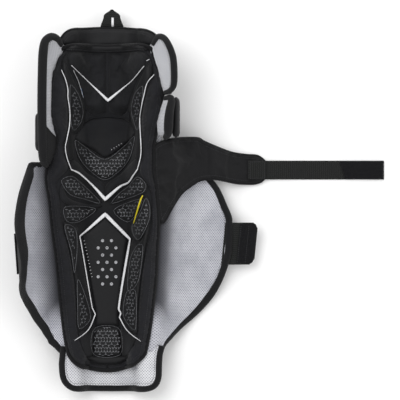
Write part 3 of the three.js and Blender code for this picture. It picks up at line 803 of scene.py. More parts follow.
def liner_pads():
    """The liner's padded panels."""
    parts = []

    def pad(name, outline, material=KNIT, **options):
        parts.append(panel(f"liner_{name}_cushion", outline, material, **options))

    seam_left = curve([(200, -50), (190, -53), (176, -57.5), (158, -55), (145, -52), (119, -50), (99, -50),
                       (79, -53), (69, -55), (55, -53), (40, -49), (30, -60), (20, -64), (0, -60),
                       (-30, -57), (-66, -49), (-110, -42), (-140, -40), (-172, -38), (-206, -28)])
    seam_right = curve([(200, 51), (190, 55), (176, 60), (164, 61), (153, 57), (139, 52), (121, 48),
                        (106, 46), (86, 47), (66, 48), (55, 47), (40, 43), (30, 47), (18, 55), (0, 59),
                        (-26, 59), (-66, 52), (-106, 46), (-145, 42), (-172, 40), (-206, 26)])
    # side rolls, one piece from the top corner round to the toe
    ys = np.arange(188, -205, -9.0)
    toe = [(-43, -213), (-29, -222), (-12, -226.3), (0, -227), (0, -219), (-11, -218.5), (-23, -214.5)]
    left = [(-48, 197.5), (-56, 195)] + [(-(edge_left(y)), y) for y in ys] + toe
    left += [(float(seam_left(y)), y) for y in ys[::-1]]
    pad("bolster_left", left, BOLSTER, thick=9, roll=8, crown=1.0, step=2.4, swell=1.6)
    right = [(50, 197.5), (57, 195)] + [(float(edge_right(y)), y) for y in ys] + [(-x, y) for x, y in toe]
    right += [(float(seam_right(y)), y) for y in ys[::-1]]
    pad("bolster_right", right, BOLSTER, thick=9, roll=8, crown=1.0, step=2.4, swell=1.6)

    # thigh
    pad("thigh_left", [(-52, 188), (-47, 194.5), (-30, 195.5), (-1.2, 195.5), (-1.2, 116), (-18, 113),
                       (-27, 120), (-34, 140), (-42, 160), (-49, 174)], thick=8, roll=11, crown=2.0,
        corners=(3, 4), swell=1.6)
    pad("thigh_right", [(1.2, 116), (1.2, 195.5), (30, 195.5), (48, 194.5), (54, 187), (51, 174),
                        (43, 160), (34, 140), (27, 120), (18, 113)], thick=8, roll=11, crown=2.0,
        corners=(0, 1), swell=1.6)
    pad("top_band", [(-53, 197), (-30, 196.5), (30, 196.5), (54, 197), (48, 203.5), (20, 205), (0, 204.4),
                     (-20, 205), (-46, 203.5)], SMOOTH, thick=3.5, roll=3, lift=0.5, corners=(0, 3))
    # upper sides
    pad("side_upper_left", [(-56.5, 183), (-57, 170), (-51, 150), (-49, 119), (-49, 100), (-52, 80),
                            (-54, 68), (-51, 52), (-43, 57), (-44, 86), (-37, 90), (-31, 104),
                            (-29.5, 121), (-36, 141), (-45, 162), (-51.5, 176)], SMOOTH, thick=4, roll=5)
    pad("side_upper_right", [(58, 180), (61, 165), (54, 152), (50, 139), (46.5, 121), (44.5, 106),
                             (45.5, 86), (46.5, 66), (45, 53), (38, 57), (39.5, 92), (33, 103),
                             (29.5, 121), (36, 141), (46, 162), (53, 176)], SMOOTH, thick=4, roll=5)
    # knee
    pad("knee_arch", [(-28, 118), (-17, 111), (17, 111), (28, 118), (30, 104), (21, 108), (0, 110),
                      (-21, 108), (-30, 104)], thick=4, roll=4, step=1.8)
    pad("knee_cup", [(-29, 102), (-20, 107), (0, 109), (20, 107), (30, 102), (37, 88), (24, 76), (11, 65),
                     (-3, 57.5), (-16, 65), (-29, 73), (-41, 82)], thick=3, roll=8, crown=-1.5, wrinkle=0.9)
    pad("chevron", [(-42.5, 80), (-29, 71.5), (-16, 63.5), (-3, 56), (11, 63.5), (24, 74.5), (37.5, 86),
                    (36, 70), (30, 52), (15, 36), (-4, 25), (-25, 39), (-38, 55)], SMOOTH, thick=5, roll=4,
        crown=1.5, corners=(0, 3, 6, 10))
    pad("ridge_left", [(-49, 41), (-45, 52), (-39, 50), (-27, 36), (-4, 20), (-4, 3), (-20, 17), (-36, 31)],
        thick=5, roll=5, crown=1)
    pad("ridge_right", [(43, 42), (40, 54), (33, 50), (17, 34), (-2, 20), (-2, 3), (14, 17), (27, 24),
                        (36, 31)], thick=5, roll=5, crown=1)
    # leaves and triangles round the crossing
    pad("leaf_left", [(-60, 25), (-47, 33), (-36, 26), (-22, 12), (-7, -4), (-29, -1), (-49, 7)], SMOOTH,
        thick=5, roll=4, crown=1.5, corners=(0, 4))
    pad("leaf_right", [(42, 32), (54, 20), (50, 8), (24, -1), (3, -6), (14, 8), (27, 18)], SMOOTH, thick=5,
        roll=4, crown=1.5, corners=(0, 4))
    pad("cross_left", [(-58, 20), (-50, 3), (-30, -5), (-8, -7), (-14, -10), (-52, -5), (-60, 5)], thick=3,
        roll=3, step=1.8)
    pad("tri_left", [(-55, -8), (-12, -12), (-38, -31), (-54, -28)], SMOOTH, thick=5, roll=4, crown=1.2,
        corners=(0, 1, 2))
    pad("tri_right", [(7, -13), (48, 4), (42, -14), (27, -31)], SMOOTH, thick=5, roll=4, crown=1.2,
        corners=(0, 1, 3))
    pad("strip_right", [(52, 5), (58, -7), (58, -27), (42, -54), (31, -36), (44, -14)], SMOOTH, thick=4,
        roll=4)
    # lower sides
    pad("side_lower_left", [(-56, -31), (-40, -34), (-38, -50), (-33, -80), (-20, -143), (-20, -156),
                            (-37, -172), (-39, -140), (-41, -110), (-48, -68)], SMOOTH, thick=4, roll=5,
        crown=1)
    pad("side_lower_right", [(57, -31), (51, -66), (45, -106), (41, -145), (40, -176), (27, -166),
                             (20, -154), (18, -143), (33, -52), (43, -57)], SMOOTH, thick=4, roll=5,
        crown=1)
    # shin
    shin = [(-3, -22), (-33, -47), (-17, -143), (-16, -167), (15, -167), (15, -143), (27, -51)]
    pad("shin", shin, SMOOTH, thick=4, roll=5, crown=1.0, wrinkle=0.15, corners=(0, 1, 3, 4, 6))
    pad("ankle_middle", [(-17, -169), (16, -169), (18, -207), (-19, -207)], SMOOTH, thick=3, roll=4,
        corners=(0, 1, 2, 3))
    pad("ankle_left", [(-37, -175), (-25, -174), (-19, -168), (-21, -207), (-30, -204)], thick=4, roll=6)
    pad("ankle_right", [(40, -178), (26, -174), (18, -168), (20, -207), (29, -203)], thick=4, roll=6)
    pad("toe", [(-27, -208), (0, -208.5), (27, -208), (22, -214), (10, -217.5), (-10, -217.5),
                (-22, -214)], SMOOTH, thick=3.5, roll=3, step=1.8)
    return parts


def liner_piping():
    """The raised light lines on the liner, and its small marks."""
    parts = []

    def pipe(name, path, width, **options):
        parts.append(piping(f"liner_{name}", path, width, **options))

    pipe("piping_left", PIPE_LEFT, 0.52)
    pipe("piping_right", PIPE_RIGHT, 0.52)
    pipe("vee_upper", [(-45, 176), (-22, 154), (1, 132), (22, 149), (34, 158), (50, 175)],
         (0.35, 0.75, 1.9, 0.95, 0.6, 0.3), corners=(2,), lift=2.4, height=0.6)
    pipe("vee_middle", [(-46, 40), (-36, 35), (-20, 20), (-3, 1), (17, 18), (28, 23), (35, 32), (41, 40)],
         (0.8, 1.2, 1.3, 2.4, 1.5, 1.3, 1.2, 0.8), corners=(3,), lift=0.9, height=0.6)
    pipe("shin_border", [(-20, -143), (-36, -48), (-3, -19), (30, -52), (20, -110), (15, -145), (18, -150)],
         (0.8, 1.1, 2.5, 1.9, 1.7, 1.4, 1.0), corners=(1, 2, 3, 6), lift=0.5, height=0.6)
    pipe("ankle_arc_left", [(-20, -143), (-16, -152), (-25, -172), (-42, -185)], (0.7, 0.8, 0.6, 0.3),
         lift=0.6, corners=(1,))
    pipe("ankle_arc_right", [(18, -150), (16, -156), (26, -172), (45, -186)], (1.2, 0.9, 0.6, 0.3),
         lift=0.6, corners=(1,))
    pipe("dash", [(53, 182), (57, 184)], 0.4, lift=2.0)
    pipe("accent", [(48, 6), (45, 0), (40, -15), (35, -31)], (0.5, 1.4, 1.6, 0.7), material=ACCENT,
         lift=1.2, height=0.4)
    pipe("blue_mark", [(-34, 147), (-31, 135)], 0.4, material=BLUE, lift=0.6, height=0.3)
    pipe("inner_left", [(-43, 170), (-37, 156), (-31, 135)], 0.25, material=PRINT_FINE, lift=0.9, height=0.3)
    return parts


def vent_dots():
    """The dots in the shin pad, in rows of two and three."""
    parts = []
    ROWS, FIRST_Y, ROW_GAP, DOT_GAP = 7, -54, 9.6, 11.8
    for i in range(ROWS):
        count = 2 if i % 2 == 0 else 3
        for k in range(count):
            x = -0.5 + DOT_GAP * (k - (count - 1) / 2)
            parts.append(vent_dot(f"liner_dot_{i}_{k}", x, FIRST_Y - ROW_GAP * i))
    return parts


def liner_edge(pads):
    """The liner's bound edge, and the rows of stitches on the pads beside it."""
    parts = []
    path = spline(liner_outline(0.5), 3, closed=True)
    rim = np.column_stack([path, liner_z(path[:, 0], path[:, 1]) - 3.5])
    parts.append(tube("liner_binding", rim, 2.6, 3.6, BINDING, sides=10, closed=True))
    stitched = spline(liner_outline(7.0), 3, closed=True)
    stitched = np.column_stack([stitched, liner_z(stitched[:, 0], stitched[:, 1])])
    wide = [p for p in pads if "bolster" in p.name or "band" in p.name]
    stitched = surface_under(stitched, wide, 0.15)
    parts.append(stitches("liner_edge_stitches", stitched, 2.6, 0.28, closed=True))
    x = np.arange(-52, 52, 1.5)
    y = np.full(len(x), 197.0)
    parts.append(stitches("liner_top_stitches", np.column_stack([x, y, liner_z(x, y) + 1.1]), 2.8, 0.35))
    return parts


def vent_dot(name, x, y):
    """A shallow dimple with a raised light rim."""
    SIDES = 20
    angle = np.arange(SIDES) * 2 * math.pi / SIDES
    z = float(liner_z(x, y)) + 1.15
    rings = [(2.15, -0.3), (2.1, 0.25), (1.7, 0.5), (1.3, 0.3), (0.9, -0.1), (0.4, -0.25)]
    points = [[x + r * math.cos(t), y + r * math.sin(t), z + h] for r, h in rings for t in angle]
    faces = grid_faces(len(rings), SIDES, wrap_v=True)
    points.append([x, y, z - 0.28])
    last = (len(rings) - 1) * SIDES
    faces += [(last + j, last + (j + 1) % SIDES, len(points) - 1) for j in range(SIDES)]
    piece = mesh_piece(name, points, faces, DOTS)
    outwards(piece)
    return piece


def stitches(name, path, length, radius, closed=False):
    """A row of short thread stitches along a path, one for each length, with a gap after each."""
    GAP = 0.45  # the open part of each length
    thread = length * (1 - GAP)
    path = np.asarray(path, float)
    if closed:
        path = np.concatenate([path, path[:1]])
    along = length_along(path)
    points, faces = [], []
    start = 0.0
    while start + length < along[-1]:
        ends = []
        for s in (start, start + thread * 0.5, start + thread):
            ends.append(np.array([np.interp(s, along, path[:, k]) for k in range(3)]))
        direction = ends[2] - ends[0]
        direction /= max(np.linalg.norm(direction), 1e-9)
        side = np.cross(direction, (0, 0, 1.0))
        side /= max(np.linalg.norm(side), 1e-9)
        up = np.cross(side, direction)
        for c, r in zip(ends, (0.35, 1.0, 0.35)):
            for k in range(4):
                a = k * math.pi / 2
                points.append(c + radius * r * (side * math.cos(a) * 1.3 + up * math.sin(a)))
        b = len(points) - 12
        faces += grid_faces(3, 4, start=b, wrap_v=True)
        start += length
    return mesh_piece(name, points, faces, STITCH)


def motif(name, outline, lift):
    """A printed repeat of three-armed marks, kept inside an outline."""
    PITCH, STROKE, MARGIN = 7.8, 0.25, 1.8
    ROW = PITCH * 0.866
    path = spline(outline, 2.0, closed=True)
    low, high = path.min(axis=0), path.max(axis=0)
    points, faces = [], []
    rows = int((high[1] - low[1]) / ROW) + 2
    columns = int((high[0] - low[0]) / PITCH) + 2

    def mark(a, b):
        a, b = np.array(a), np.array(b)
        steps = 3
        d = b - a
        side = np.array([-d[1], d[0]])
        side = side / max(np.linalg.norm(side), 1e-9) * STROKE
        line = [a + d * k / steps for k in range(steps + 1)]
        if not inside(line, path).all() or distance_to(line, path).min() < MARGIN:
            return
        start = len(points)
        for p in line:
            for q in (p - side, p + side):
                points.append([q[0], q[1], float(liner_z(q[0], q[1])) + lift])
        for k in range(steps):
            n = start + 2 * k
            faces.append((n, n + 2, n + 3, n + 1))

    for i in range(rows):
        for j in range(columns):
            c = np.array([low[0] + PITCH * (j + 0.5 * (i % 2)), low[1] + ROW * i])
            for k in range(3):
                angle = (0.5 + 2 * k / 3) * math.pi + (i % 2) * math.pi / 3
                arm = np.array([math.cos(angle), math.sin(angle)])
                cap = np.array([-arm[1], arm[0]])
                tip = c + arm * PITCH * 0.36
                mark(c + arm * PITCH * 0.05, tip)
                mark(tip - cap * PITCH * 0.20, tip + cap * PITCH * 0.20)
    if not points:
        return None
    return mesh_piece(name, points, faces, PRINT)


def liner_prints():
    """The printed panels of the liner, as fine marks lying on the pads."""
    areas = {
        "chevron": [(-41, 78), (-29, 70), (-3, 54), (24, 73), (36, 84), (34, 68), (28, 52), (14, 37),
                    (-4, 27), (-24, 40), (-36, 56)],
        "leaf_left": [(-58, 25), (-46, 31), (-36, 24), (-10, -3), (-29, 1), (-48, 8)],
        "leaf_right": [(41, 30), (52, 20), (48, 10), (24, 1), (6, -4), (15, 8), (28, 18)],
        "tri_left": [(-53, -9), (-16, -12), (-38, -29), (-52, -27)],
        "tri_right": [(9, -13), (45, 1), (41, -14), (27, -29)],
        "strip_right": [(52, 2), (57, -8), (56, -27), (42, -52), (33, -36), (45, -14)],
        "side_upper_left": [(-47, 150), (-46, 100), (-42, 92), (-34, 105), (-32, 121), (-38, 141)],
        "side_upper_right": [(48, 148), (43, 100), (40, 92), (35, 105), (32, 121), (38, 141)],
        "side_lower_left": [(-37, -105), (-22, -155), (-36, -169), (-38, -140)],
        "side_lower_left_upper": [(-54, -34), (-42, -37), (-39, -60), (-42, -95), (-46, -68)],
        "side_lower_right": [(48, -60), (42, -106), (28, -120), (30, -80), (40, -60)],
        "side_lower_right_lower": [(38, -120), (38, -170), (27, -163), (21, -150), (26, -122)],
        "ankle": [(-17, -171), (15, -171), (17, -205), (-18, -205)],
    }
    made = []
    for name, outline in areas.items():
        lift = 1.6 if name in ("chevron", "leaf_left", "leaf_right") else 1.3  # over the pad's crown
        piece = motif(f"liner_print_{name}", outline, lift)
        if piece:
            made.append(piece)
        line = spline(outline, 2.0, closed=True)
        z = liner_z(line[:, 0], line[:, 1]) + lift - 0.3
        made.append(tube(f"liner_print_edge_{name}", np.column_stack([line, z]), 0.17, 0.22, PRINT,
                         liner_normal(line), sides=4, closed=True))

    def ticks(name, a, b, count, size):
        """A row of plain fine ticks."""
        points, faces = [], []
        a, b = np.array(a, float), np.array(b, float)
        along = (b - a) / np.linalg.norm(b - a)
        side = np.array([-along[1], along[0]])
        for k in range(count):
            c = a + (b - a) * (k + 0.5) / count
            start = len(points)
            for u, v in ((-0.35, -0.5), (0.35, -0.5), (0.35, 0.5), (-0.35, 0.5)):
                p = c + along * u * size * 0.5 + side * v * size
                points.append([p[0], p[1], float(liner_z(*p)) + 1.9])
            faces.append((start, start + 1, start + 2, start + 3))
        made.append(mesh_piece(name, points, faces, PRINT_FINE))

    ticks("liner_ticks_shin", (-31, -52), (-20, -104), 12, 1.7)
    ticks("liner_ticks_knee", (4, 66), (20, 76), 5, 1.5)
    return made


# ---------------------------------------------------------------- calf wings

ROOT_RADIUS, ROOT_LENGTH, TIP_RADIUS = 80.0, 50.0, 45.0
LEFT_SQUEEZE = 0.88  # the left wing's cloth stands closer in than its solid
wing_start = {
    "left": curve([(-197, 26), (-40, 26), (45, 38)]),
    "right": curve([(-197, -58), (0, -58), (45, -58)]),
}
wing_reach = {
    "left": curve([(-197, 8), (-184, 10), (-170, 17), (-155, 31), (-141, 43), (-128, 58), (-113, 78),
                   (-98, 92), (-80, 97), (-53, 88), (-20, 68), (7, 53), (29, 38), (45, 26)]),
    "right": curve([(-197, 10), (-185, 18), (-169, 35), (-152, 55), (-136, 70), (-119, 83), (-99, 93),
                    (-66, 102), (-29, 100), (-7, 89), (13, 78), (29, 64), (45, 44)]),
}
SIDE = {"left": -1.0, "right": 1.0}
# how far the sheet goes out near the ankle, where it is under the flange: -1 is its root, 1 its free edge
wing_end = {
    "left": curve([(-200, -0.75), (-192, -0.35), (-184, 0.1), (-174, 1), (45, 1)]),
    "right": curve([(-200, -0.1), (-190, 0.6), (-180, 1), (45, 1)]),
}


def wing_curve(side, y, r, d=0.0):
    """A point of a calf wing: r along its curve from the fold line, d off its middle, towards the leg."""
    y, r = np.asarray(y, float), np.asarray(r, float)
    start = np.radians(wing_start[side](y))
    first = start + np.minimum(r, ROOT_LENGTH) / ROOT_RADIUS
    heading = first + np.maximum(r - ROOT_LENGTH, 0) / TIP_RADIUS
    x = (ROOT_RADIUS * (np.sin(first) - np.sin(start)) + TIP_RADIUS * (np.sin(heading) - np.sin(first))
         - d * np.sin(heading))
    if side == "left":
        x = x * LEFT_SQUEEZE
    z = (ROOT_RADIUS * (np.cos(start) - np.cos(first)) + TIP_RADIUS * (np.cos(first) - np.cos(heading))
         + d * np.cos(heading))
    return np.stack([hinge_half(y) + x, y + 0 * x, shoulder_z(y) + LINING_TOP / 2 + z], axis=-1)


def wing_sheet(side, ys, s, d):
    """The wing with its root: s from -1 to 0 crosses the base's shoulder, from 0 to 1 it runs to the edge."""
    JOIN, AHEAD, REACH_IN = 7.0, 0.5, 12.0
    ys, s = np.meshgrid(np.asarray(ys, float), np.asarray(s, float), indexing="ij")
    s = -1 + (s + 1) * (wing_end[side](ys) + 1) / 2
    reach = wing_reach[side](ys)
    r = JOIN + (np.maximum(reach - JOIN, 1.0)) * clip01(s)
    out = wing_curve(side, ys, r, d)
    join = wing_curve(side, ys, np.full_like(ys, JOIN), d)
    after = wing_curve(side, ys, np.full_like(ys, JOIN + AHEAD), d)
    way = (after - join) / AHEAD
    root = np.stack([hinge_half(ys) - 17, ys, shoulder_z(ys) + LINING_TOP / 2 + d], axis=-1)
    t = clip01(s + 1)[..., None]
    p1 = root + np.array([REACH_IN, 0, 0])
    p2 = join - way * REACH_IN
    bezier = root * (1 - t) ** 3 + 3 * p1 * t * (1 - t) ** 2 + 3 * p2 * t * t * (1 - t) + join * t ** 3
    out = np.where((s < 0)[..., None], bezier, out)
    out[..., 0] *= SIDE[side]
    return out


def wing_blend(piece, side):
    """Bakes the piece's place into its points. The fold line's direction that it works out is not used."""
    across = Vector((SIDE[side], 0.0, 0.0))
    along = Vector((SIDE[side] * 15.0, 227.0, 17.8)).normalized()  # the fold line's direction
    across = (across - along * across.dot(along)).normalized()
    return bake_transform(piece)


def calf_wing(side):
    """One calf wrap: mesh lining, cover, bound edge and the row of stitches beside it."""
    ys = np.concatenate([np.arange(-200, 44, 3.0), [45.0]])
    s = np.concatenate([np.linspace(-1, 0, 9)[:-1], np.linspace(0, 1, 34)])
    puff = 0.9 * np.sin(np.pi * clip01(s))[None, :]
    waves = ripple(*np.meshgrid(ys, s * 100, indexing="ij"), 26, 7.0).reshape(len(ys), len(s))
    waves = waves * clip01(s * 3)[None, :]
    top = wing_sheet(side, ys, s, 0.0)
    up = wing_sheet(side, ys, s, 1.0) - top
    bottom = top - up * (3.2 + puff)[..., None]
    edge = smooth(1 - s, 0.0, 0.08)[None, :]
    root = 2.4 * (1 - smooth(s, -0.5, 0.3))[None, :]
    lining = top + up * (1.6 + root + 2.1 * edge + puff * 0.6 + waves * 0.5)[..., None]
    inner = top + up * 0.4
    length = row_lengths(top)
    uv = np.stack([length, np.broadcast_to(ys[:, None], length.shape)], axis=-1)
    # the wings' mesh copies carry painted shade
    material = SHADED_WING_MESH_LEFT if side == "left" else SHADED_WING_MESH_RIGHT
    pieces = [
        closed_piece(f"calf_mesh_{side}", lining, inner, material, uv),
        closed_piece(f"calf_shell_{side}", top + up * 0.3, bottom - up * (waves * 0.5)[..., None], NYLON, uv),
    ]
    # the bound edge: along the knee end, then round the free edge
    over = top[-1, 6:, :]
    free = top[::-1, -1, :]
    path = np.concatenate([over[:-1], free])
    ups = np.concatenate([up[-1, 6:-1, :], up[::-1, -1, :]])
    # the left wing's edge is thickest beside its loop patch
    beside = smooth(path[:, 1], -88, -60) * (1 - smooth(path[:, 1], 30, 43))
    thick = beside if side == "left" else np.zeros(len(path))
    path = path + ups * (2.6 * thick - 0.2)[:, None]
    wide = 4.8 + 1.9 * smooth(-path[:, 1], 95, 145)
    pieces.append(tube(f"calf_edge_{side}", path, wide, 4.5 + 2.4 * thick, BINDING, ups, sides=12))
    reach = wing_reach[side](ys)
    row = np.array([wing_sheet(side, [y], [1 - 5.0 / max(r - 7, 8)], 3.4)[0, 0] for y, r in zip(ys, reach)])
    pieces.append(stitches(f"calf_stitches_{side}", row, 2.8, 0.3))
    for p in pieces:
        wing_blend(p, side)
    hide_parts(f"calf_lining_{side}")
    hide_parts(f"calf_cover_{side}", f"calf_foam_{side}")
    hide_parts(f"calf_binding_{side}")
    return pieces


def loop_patch():
    """The loop patch on the outside of the left wrap, with its seam."""
    yy, along = np.meshgrid(np.linspace(-96, -44, 24), np.linspace(57, 76, 10), indexing="ij")
    NEAR, OVER = -4.5, -6.2  # both off the wrap's middle, on its outer side
    out = wing_curve("left", yy, along, NEAR)
    far = wing_curve("left", yy, along, OVER)
    for g in (out, far):
        g[..., 0] *= -1
    patch = closed_piece("loop_patch", far, out, HOOK)
    edge = np.concatenate([far[:, 0], far[-1, 1:], far[-2::-1, -1], far[0, -2:0:-1]])
    seam = tube("loop_patch_seam", edge, 0.5, 0.5, STITCH, sides=5, closed=True)
    for p in (patch, seam):
        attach(p, "calf_wrap_left")
    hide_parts("loop_patch_left")


def closing_tab():
    """The elastic tab on the right wrap's edge, with its hook tape and two rows of stitches."""
    LOW, HIGH, LENGTH = -86.0, -30.0, 39.0
    HOOK_FROM = 15
    ends = [wing_curve("right", y, wing_reach["right"](y), 0.0) for y in (LOW, HIGH)]
    droop = math.radians(-6)

    def tab(us, ys, lift, cut):
        """Points of the tab, lift over its middle, with its far corners cut off."""
        uu, yy = np.meshgrid(us, ys, indexing="ij")
        t = (yy - LOW) / (HIGH - LOW)
        corner = np.minimum(yy - LOW, HIGH - yy)
        last = LENGTH - np.maximum(cut - corner, 0) * 0.9
        r = np.minimum(uu, last)
        x = lerp(ends[0][0], ends[1][0], t) + r * math.cos(droop)
        z = lerp(ends[0][2], ends[1][2], t) + r * math.sin(droop)
        wave = 0.5 * np.sin(yy / 9.0) * smooth(r, 5, 30)
        return np.stack([x, yy, z + lift + wave], axis=-1), np.stack([yy, r], axis=-1)

    us = np.linspace(-5, LENGTH, 24)
    ys = np.linspace(LOW, HIGH, 30)
    top, uv = tab(us, ys, 1.4, 7)
    bottom, _ = tab(us, ys, -1.4, 7)
    elastic = closed_piece("closing_elastic", top, bottom, WEBBING, uv)
    us = np.linspace(HOOK_FROM, LENGTH - 1.5, 14)
    ys = np.linspace(LOW + 1.5, HIGH - 1.5, 28)
    top, uv = tab(us, ys, 2.6, 6)
    bottom, _ = tab(us, ys, 1.2, 6)
    hook = closed_piece("closing_hook", top, bottom, HOOK, uv)
    rows = []
    for u in (16.5, 27.0):
        row, _ = tab([u], np.linspace(LOW + 3, HIGH - 3, 30), 2.9, 0)
        rows.append(stitches(f"closing_stitches_{u:.0f}", row[0], 2.8, 0.35))
    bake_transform(elastic)
    for p in [hook] + rows:
        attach(p, "closure_tab")
    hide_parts("closure_elastic")
    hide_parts("closure_hook")


# ---------------------------------------------------------------- base, caps and rivets

def base():
    """The foam base in its black cover, the light lining over it and the bound edge at the knee end."""
    END = 4.68  # how far round the cross-section the cover goes
    ys = np.concatenate([np.arange(-226, 204, 5.0), [204.0]])
    q = np.concatenate([np.linspace(-END, -4, 5), np.linspace(-4, -1, 26)[1:], [-0.5, 0, 0.5],
                        np.linspace(1, 4, 26), np.linspace(4, END, 5)[1:]])
    yy, qq = np.meshgrid(ys, q, indexing="ij")
    qq = qq * (1 - 0.16 * smooth(-yy, 196, 226))
    foam = closed_piece("base_cover", channel(qq, yy, 5.6), channel(qq, yy, 0.0), NYLON,
                        np.stack([qq * 20, yy], -1))
    # the light lining stops short of the knee end, where the black cover shows
    LINED_TO = 187
    lined = ys < LINED_TO
    qq, yy = qq[lined], yy[lined]
    top, low = channel(qq, yy, 6.5), channel(qq, yy, 5.7)
    lining = closed_piece("base_mesh", top, low, MESH, np.stack([row_lengths(top), yy], -1))
    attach(foam, "guard")
    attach(lining, "guard")
    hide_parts("base_foam")
    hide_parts("base_lining")
    # the base's own bound edge along the knee end
    q = np.linspace(-END, END, 70)
    rim = channel(q, 203.5, 3.0)
    edge = tube("base_edge_knee", rim, 3.0, 4.2, BINDING, channel(q, 203.5, 4.0) - rim, sides=10)
    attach(edge, "guard")


def caps():
    """The two hard caps under the base, and the rivets in their walls."""
    def shell(name, y0, y1, node, depth, ribs, ends):
        ys = np.linspace(y0, y1, int((y1 - y0) / 3))
        q = np.concatenate([np.linspace(-3, -1, 30), np.linspace(-1, 1, 17)[1:-1], np.linspace(1, 3, 30)])
        yy, qq = np.meshgrid(ys, q, indexing="ij")
        # rounded corners: the wall is lower near both ends
        low_end = np.minimum(yy - y0, y1 - yy)
        qq = qq * (1 - 0.55 / 3 * (1 - smooth(low_end, 0, ends)) ** 2)
        a = np.abs(qq)
        out = depth(yy)
        # raised spine facets, side flutes and a lip along the rim
        relief = 1.0 * smooth(a, 1.25, 1.4) * smooth(2.05 - a, 0.0, 0.15)
        for centre, half in ribs:
            flute = smooth(half - np.abs(yy - centre - (a - 2.2) * 16), 0, 3.0) * smooth(a, 1.55,
                    1.75) * smooth(2.75 - a, 0, 0.2)
            relief = relief - 2.0 * flute
        relief = relief + 0.8 * smooth(a, 2.82, 2.92)
        relief = np.clip(relief, -1.9, 1.5)
        bevel = 1.2 * (1 - smooth(low_end, 0, 3.0))
        outer = channel(qq, yy, -CAP_GAP - CAP_THICK - out - relief * smooth(a, 1.1, 1.2) + bevel)
        inner = channel(qq, yy, -CAP_GAP - out)
        outer[..., 2] = np.maximum(outer[..., 2], 0.0)
        piece = closed_piece(name, inner, outer, SHELL, np.stack([qq * 20, yy], -1))
        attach(piece, "guard")
        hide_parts(node)

    def no_lap(y):
        return np.zeros_like(y)

    def lap(y):
        return 3.3 * (1 - clip01((y - 52) / 23))

    shell("shin_shell", -205, 46, "shin_cap", no_lap, [(y, 9) for y in (-160, -120, -80, -40, 0)], 34)
    shell("knee_shell", 34, 198, "knee_cap", lap, [(y, 8) for y in (90, 120, 165)], 30)

    SIDES = 28
    angle = np.arange(SIDES) * 2 * math.pi / SIDES
    for side in ("left", "right"):
        rivets = ((f"rivet_shin_{side}_lower", -150), (f"rivet_shin_{side}_upper", -20),
                  (f"rivet_knee_{side}", 140))
        for name, y in rivets:
            q = 2.5 * SIDE[side]
            foot = channel(q, y, -3.4 + 0.3)
            tip = channel(q, y, -5.4)
            axis = (tip - foot) / np.linalg.norm(tip - foot)
            u = np.cross(axis, (0, 1.0, 0))
            u /= np.linalg.norm(u)
            w = np.cross(axis, u)
            rings = [(4.6, 0.0), (4.6, 0.7), (4.3, 1.1), (3.4, 1.65), (2.2, 1.9), (1.5, 1.75), (1.4, 1.0),
                     (0.6, 0.9)]
            points = [foot + axis * h + r * (u * math.cos(t) + w * math.sin(t)) for r,
                      h in rings for t in angle]
            faces = grid_faces(len(rings), SIDES, wrap_v=True)
            points.append(foot + axis * 0.9)
            last = (len(rings) - 1) * SIDES
            faces += [(last + j, last + (j + 1) % SIDES, len(points) - 1) for j in range(SIDES)]
            piece = mesh_piece(f"{name}_head", points, faces, METAL)
            outwards(piece)
            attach(piece, "guard")
            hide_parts(name)


# ---------------------------------------------------------------- ankle flange

def section_z(x, y, d):
    """The height of the base's layer d, for points seen from above."""
    x, y = np.broadcast_arrays(np.asarray(x, float), np.asarray(y, float))
    out = np.empty(x.shape)
    rows = np.round(np.clip(y, -226, 204) / 2) * 2
    for row in np.unique(rows):
        here = rows == row
        section = channel(np.linspace(0, 5, 240), row, d)
        out[here] = np.interp(np.abs(x[here]), section[:, 0], section[:, 2])
    return out


def ankle_z(x, y):
    """The height of the ankle flange's skin."""
    x = np.asarray(x, float)
    middle = 3.0 * smooth(-np.asarray(y, float), 205, 235)
    return section_z(x - middle, y, 7.0) + 0.8 - 2.5 * smooth(-np.asarray(y, float), 232, 252)


def ankle_flange():
    """The padded flange past the base's ankle end: mesh, cover, bound edge and stitches."""
    outline = [(-58, -193), (-58.5, -205), (-59.5, -218), (-58, -234), (-52.5, -244), (-42, -249.5),
               (0, -251), (50, -250), (62, -246), (67.5, -236), (68.5, -218), (69.5, -205), (72.5, -193)]
    corners = (0, 12)
    path = spline(outline, 2.5, closed=True, corners=corners)
    verts, faces = flat_mesh(path, 3.2)
    x, y = verts[:, 0], verts[:, 1]
    d = distance_to(verts, path)
    z = ankle_z(x, y)
    mesh_z = z + 0.9 * smooth(d, 0, 9) + 0.4 * ripple(x, y, 15, 2.0)
    lining = mesh_piece("ankle_mesh", np.column_stack([verts, mesh_z]), faces, PAINTED_LIGHT_MESH, verts)
    under = mesh_piece("ankle_cover", np.column_stack([verts, z - 6.5 + 1.5 * (1 - smooth(d, 0, 6))]),
                       [f[::-1] for f in faces], NYLON, verts)
    open_path = spline(outline, 2.5, corners=corners)
    line = np.column_stack([open_path, ankle_z(open_path[:, 0], open_path[:, 1]) - 1.6])
    edge = tube("ankle_edge", line, 4.4, 4.6, BINDING, sides=12)
    row_points = [(x * 0.915 + 0.3, y * 0.985) for x, y in outline]
    row = spline(row_points, 3, corners=corners)
    row = row[row[:, 1] > -243.5]
    sewn = stitches("ankle_stitches", np.column_stack([row, ankle_z(row[:, 0], row[:, 1]) + 1.1]), 2.8, 0.3)
    for p in (lining, under, edge, sewn):
        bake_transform(p)
    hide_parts("ankle_lining")
    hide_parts("ankle_foam")
    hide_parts("ankle_binding")


# ---------------------------------------------------------------- knee wings

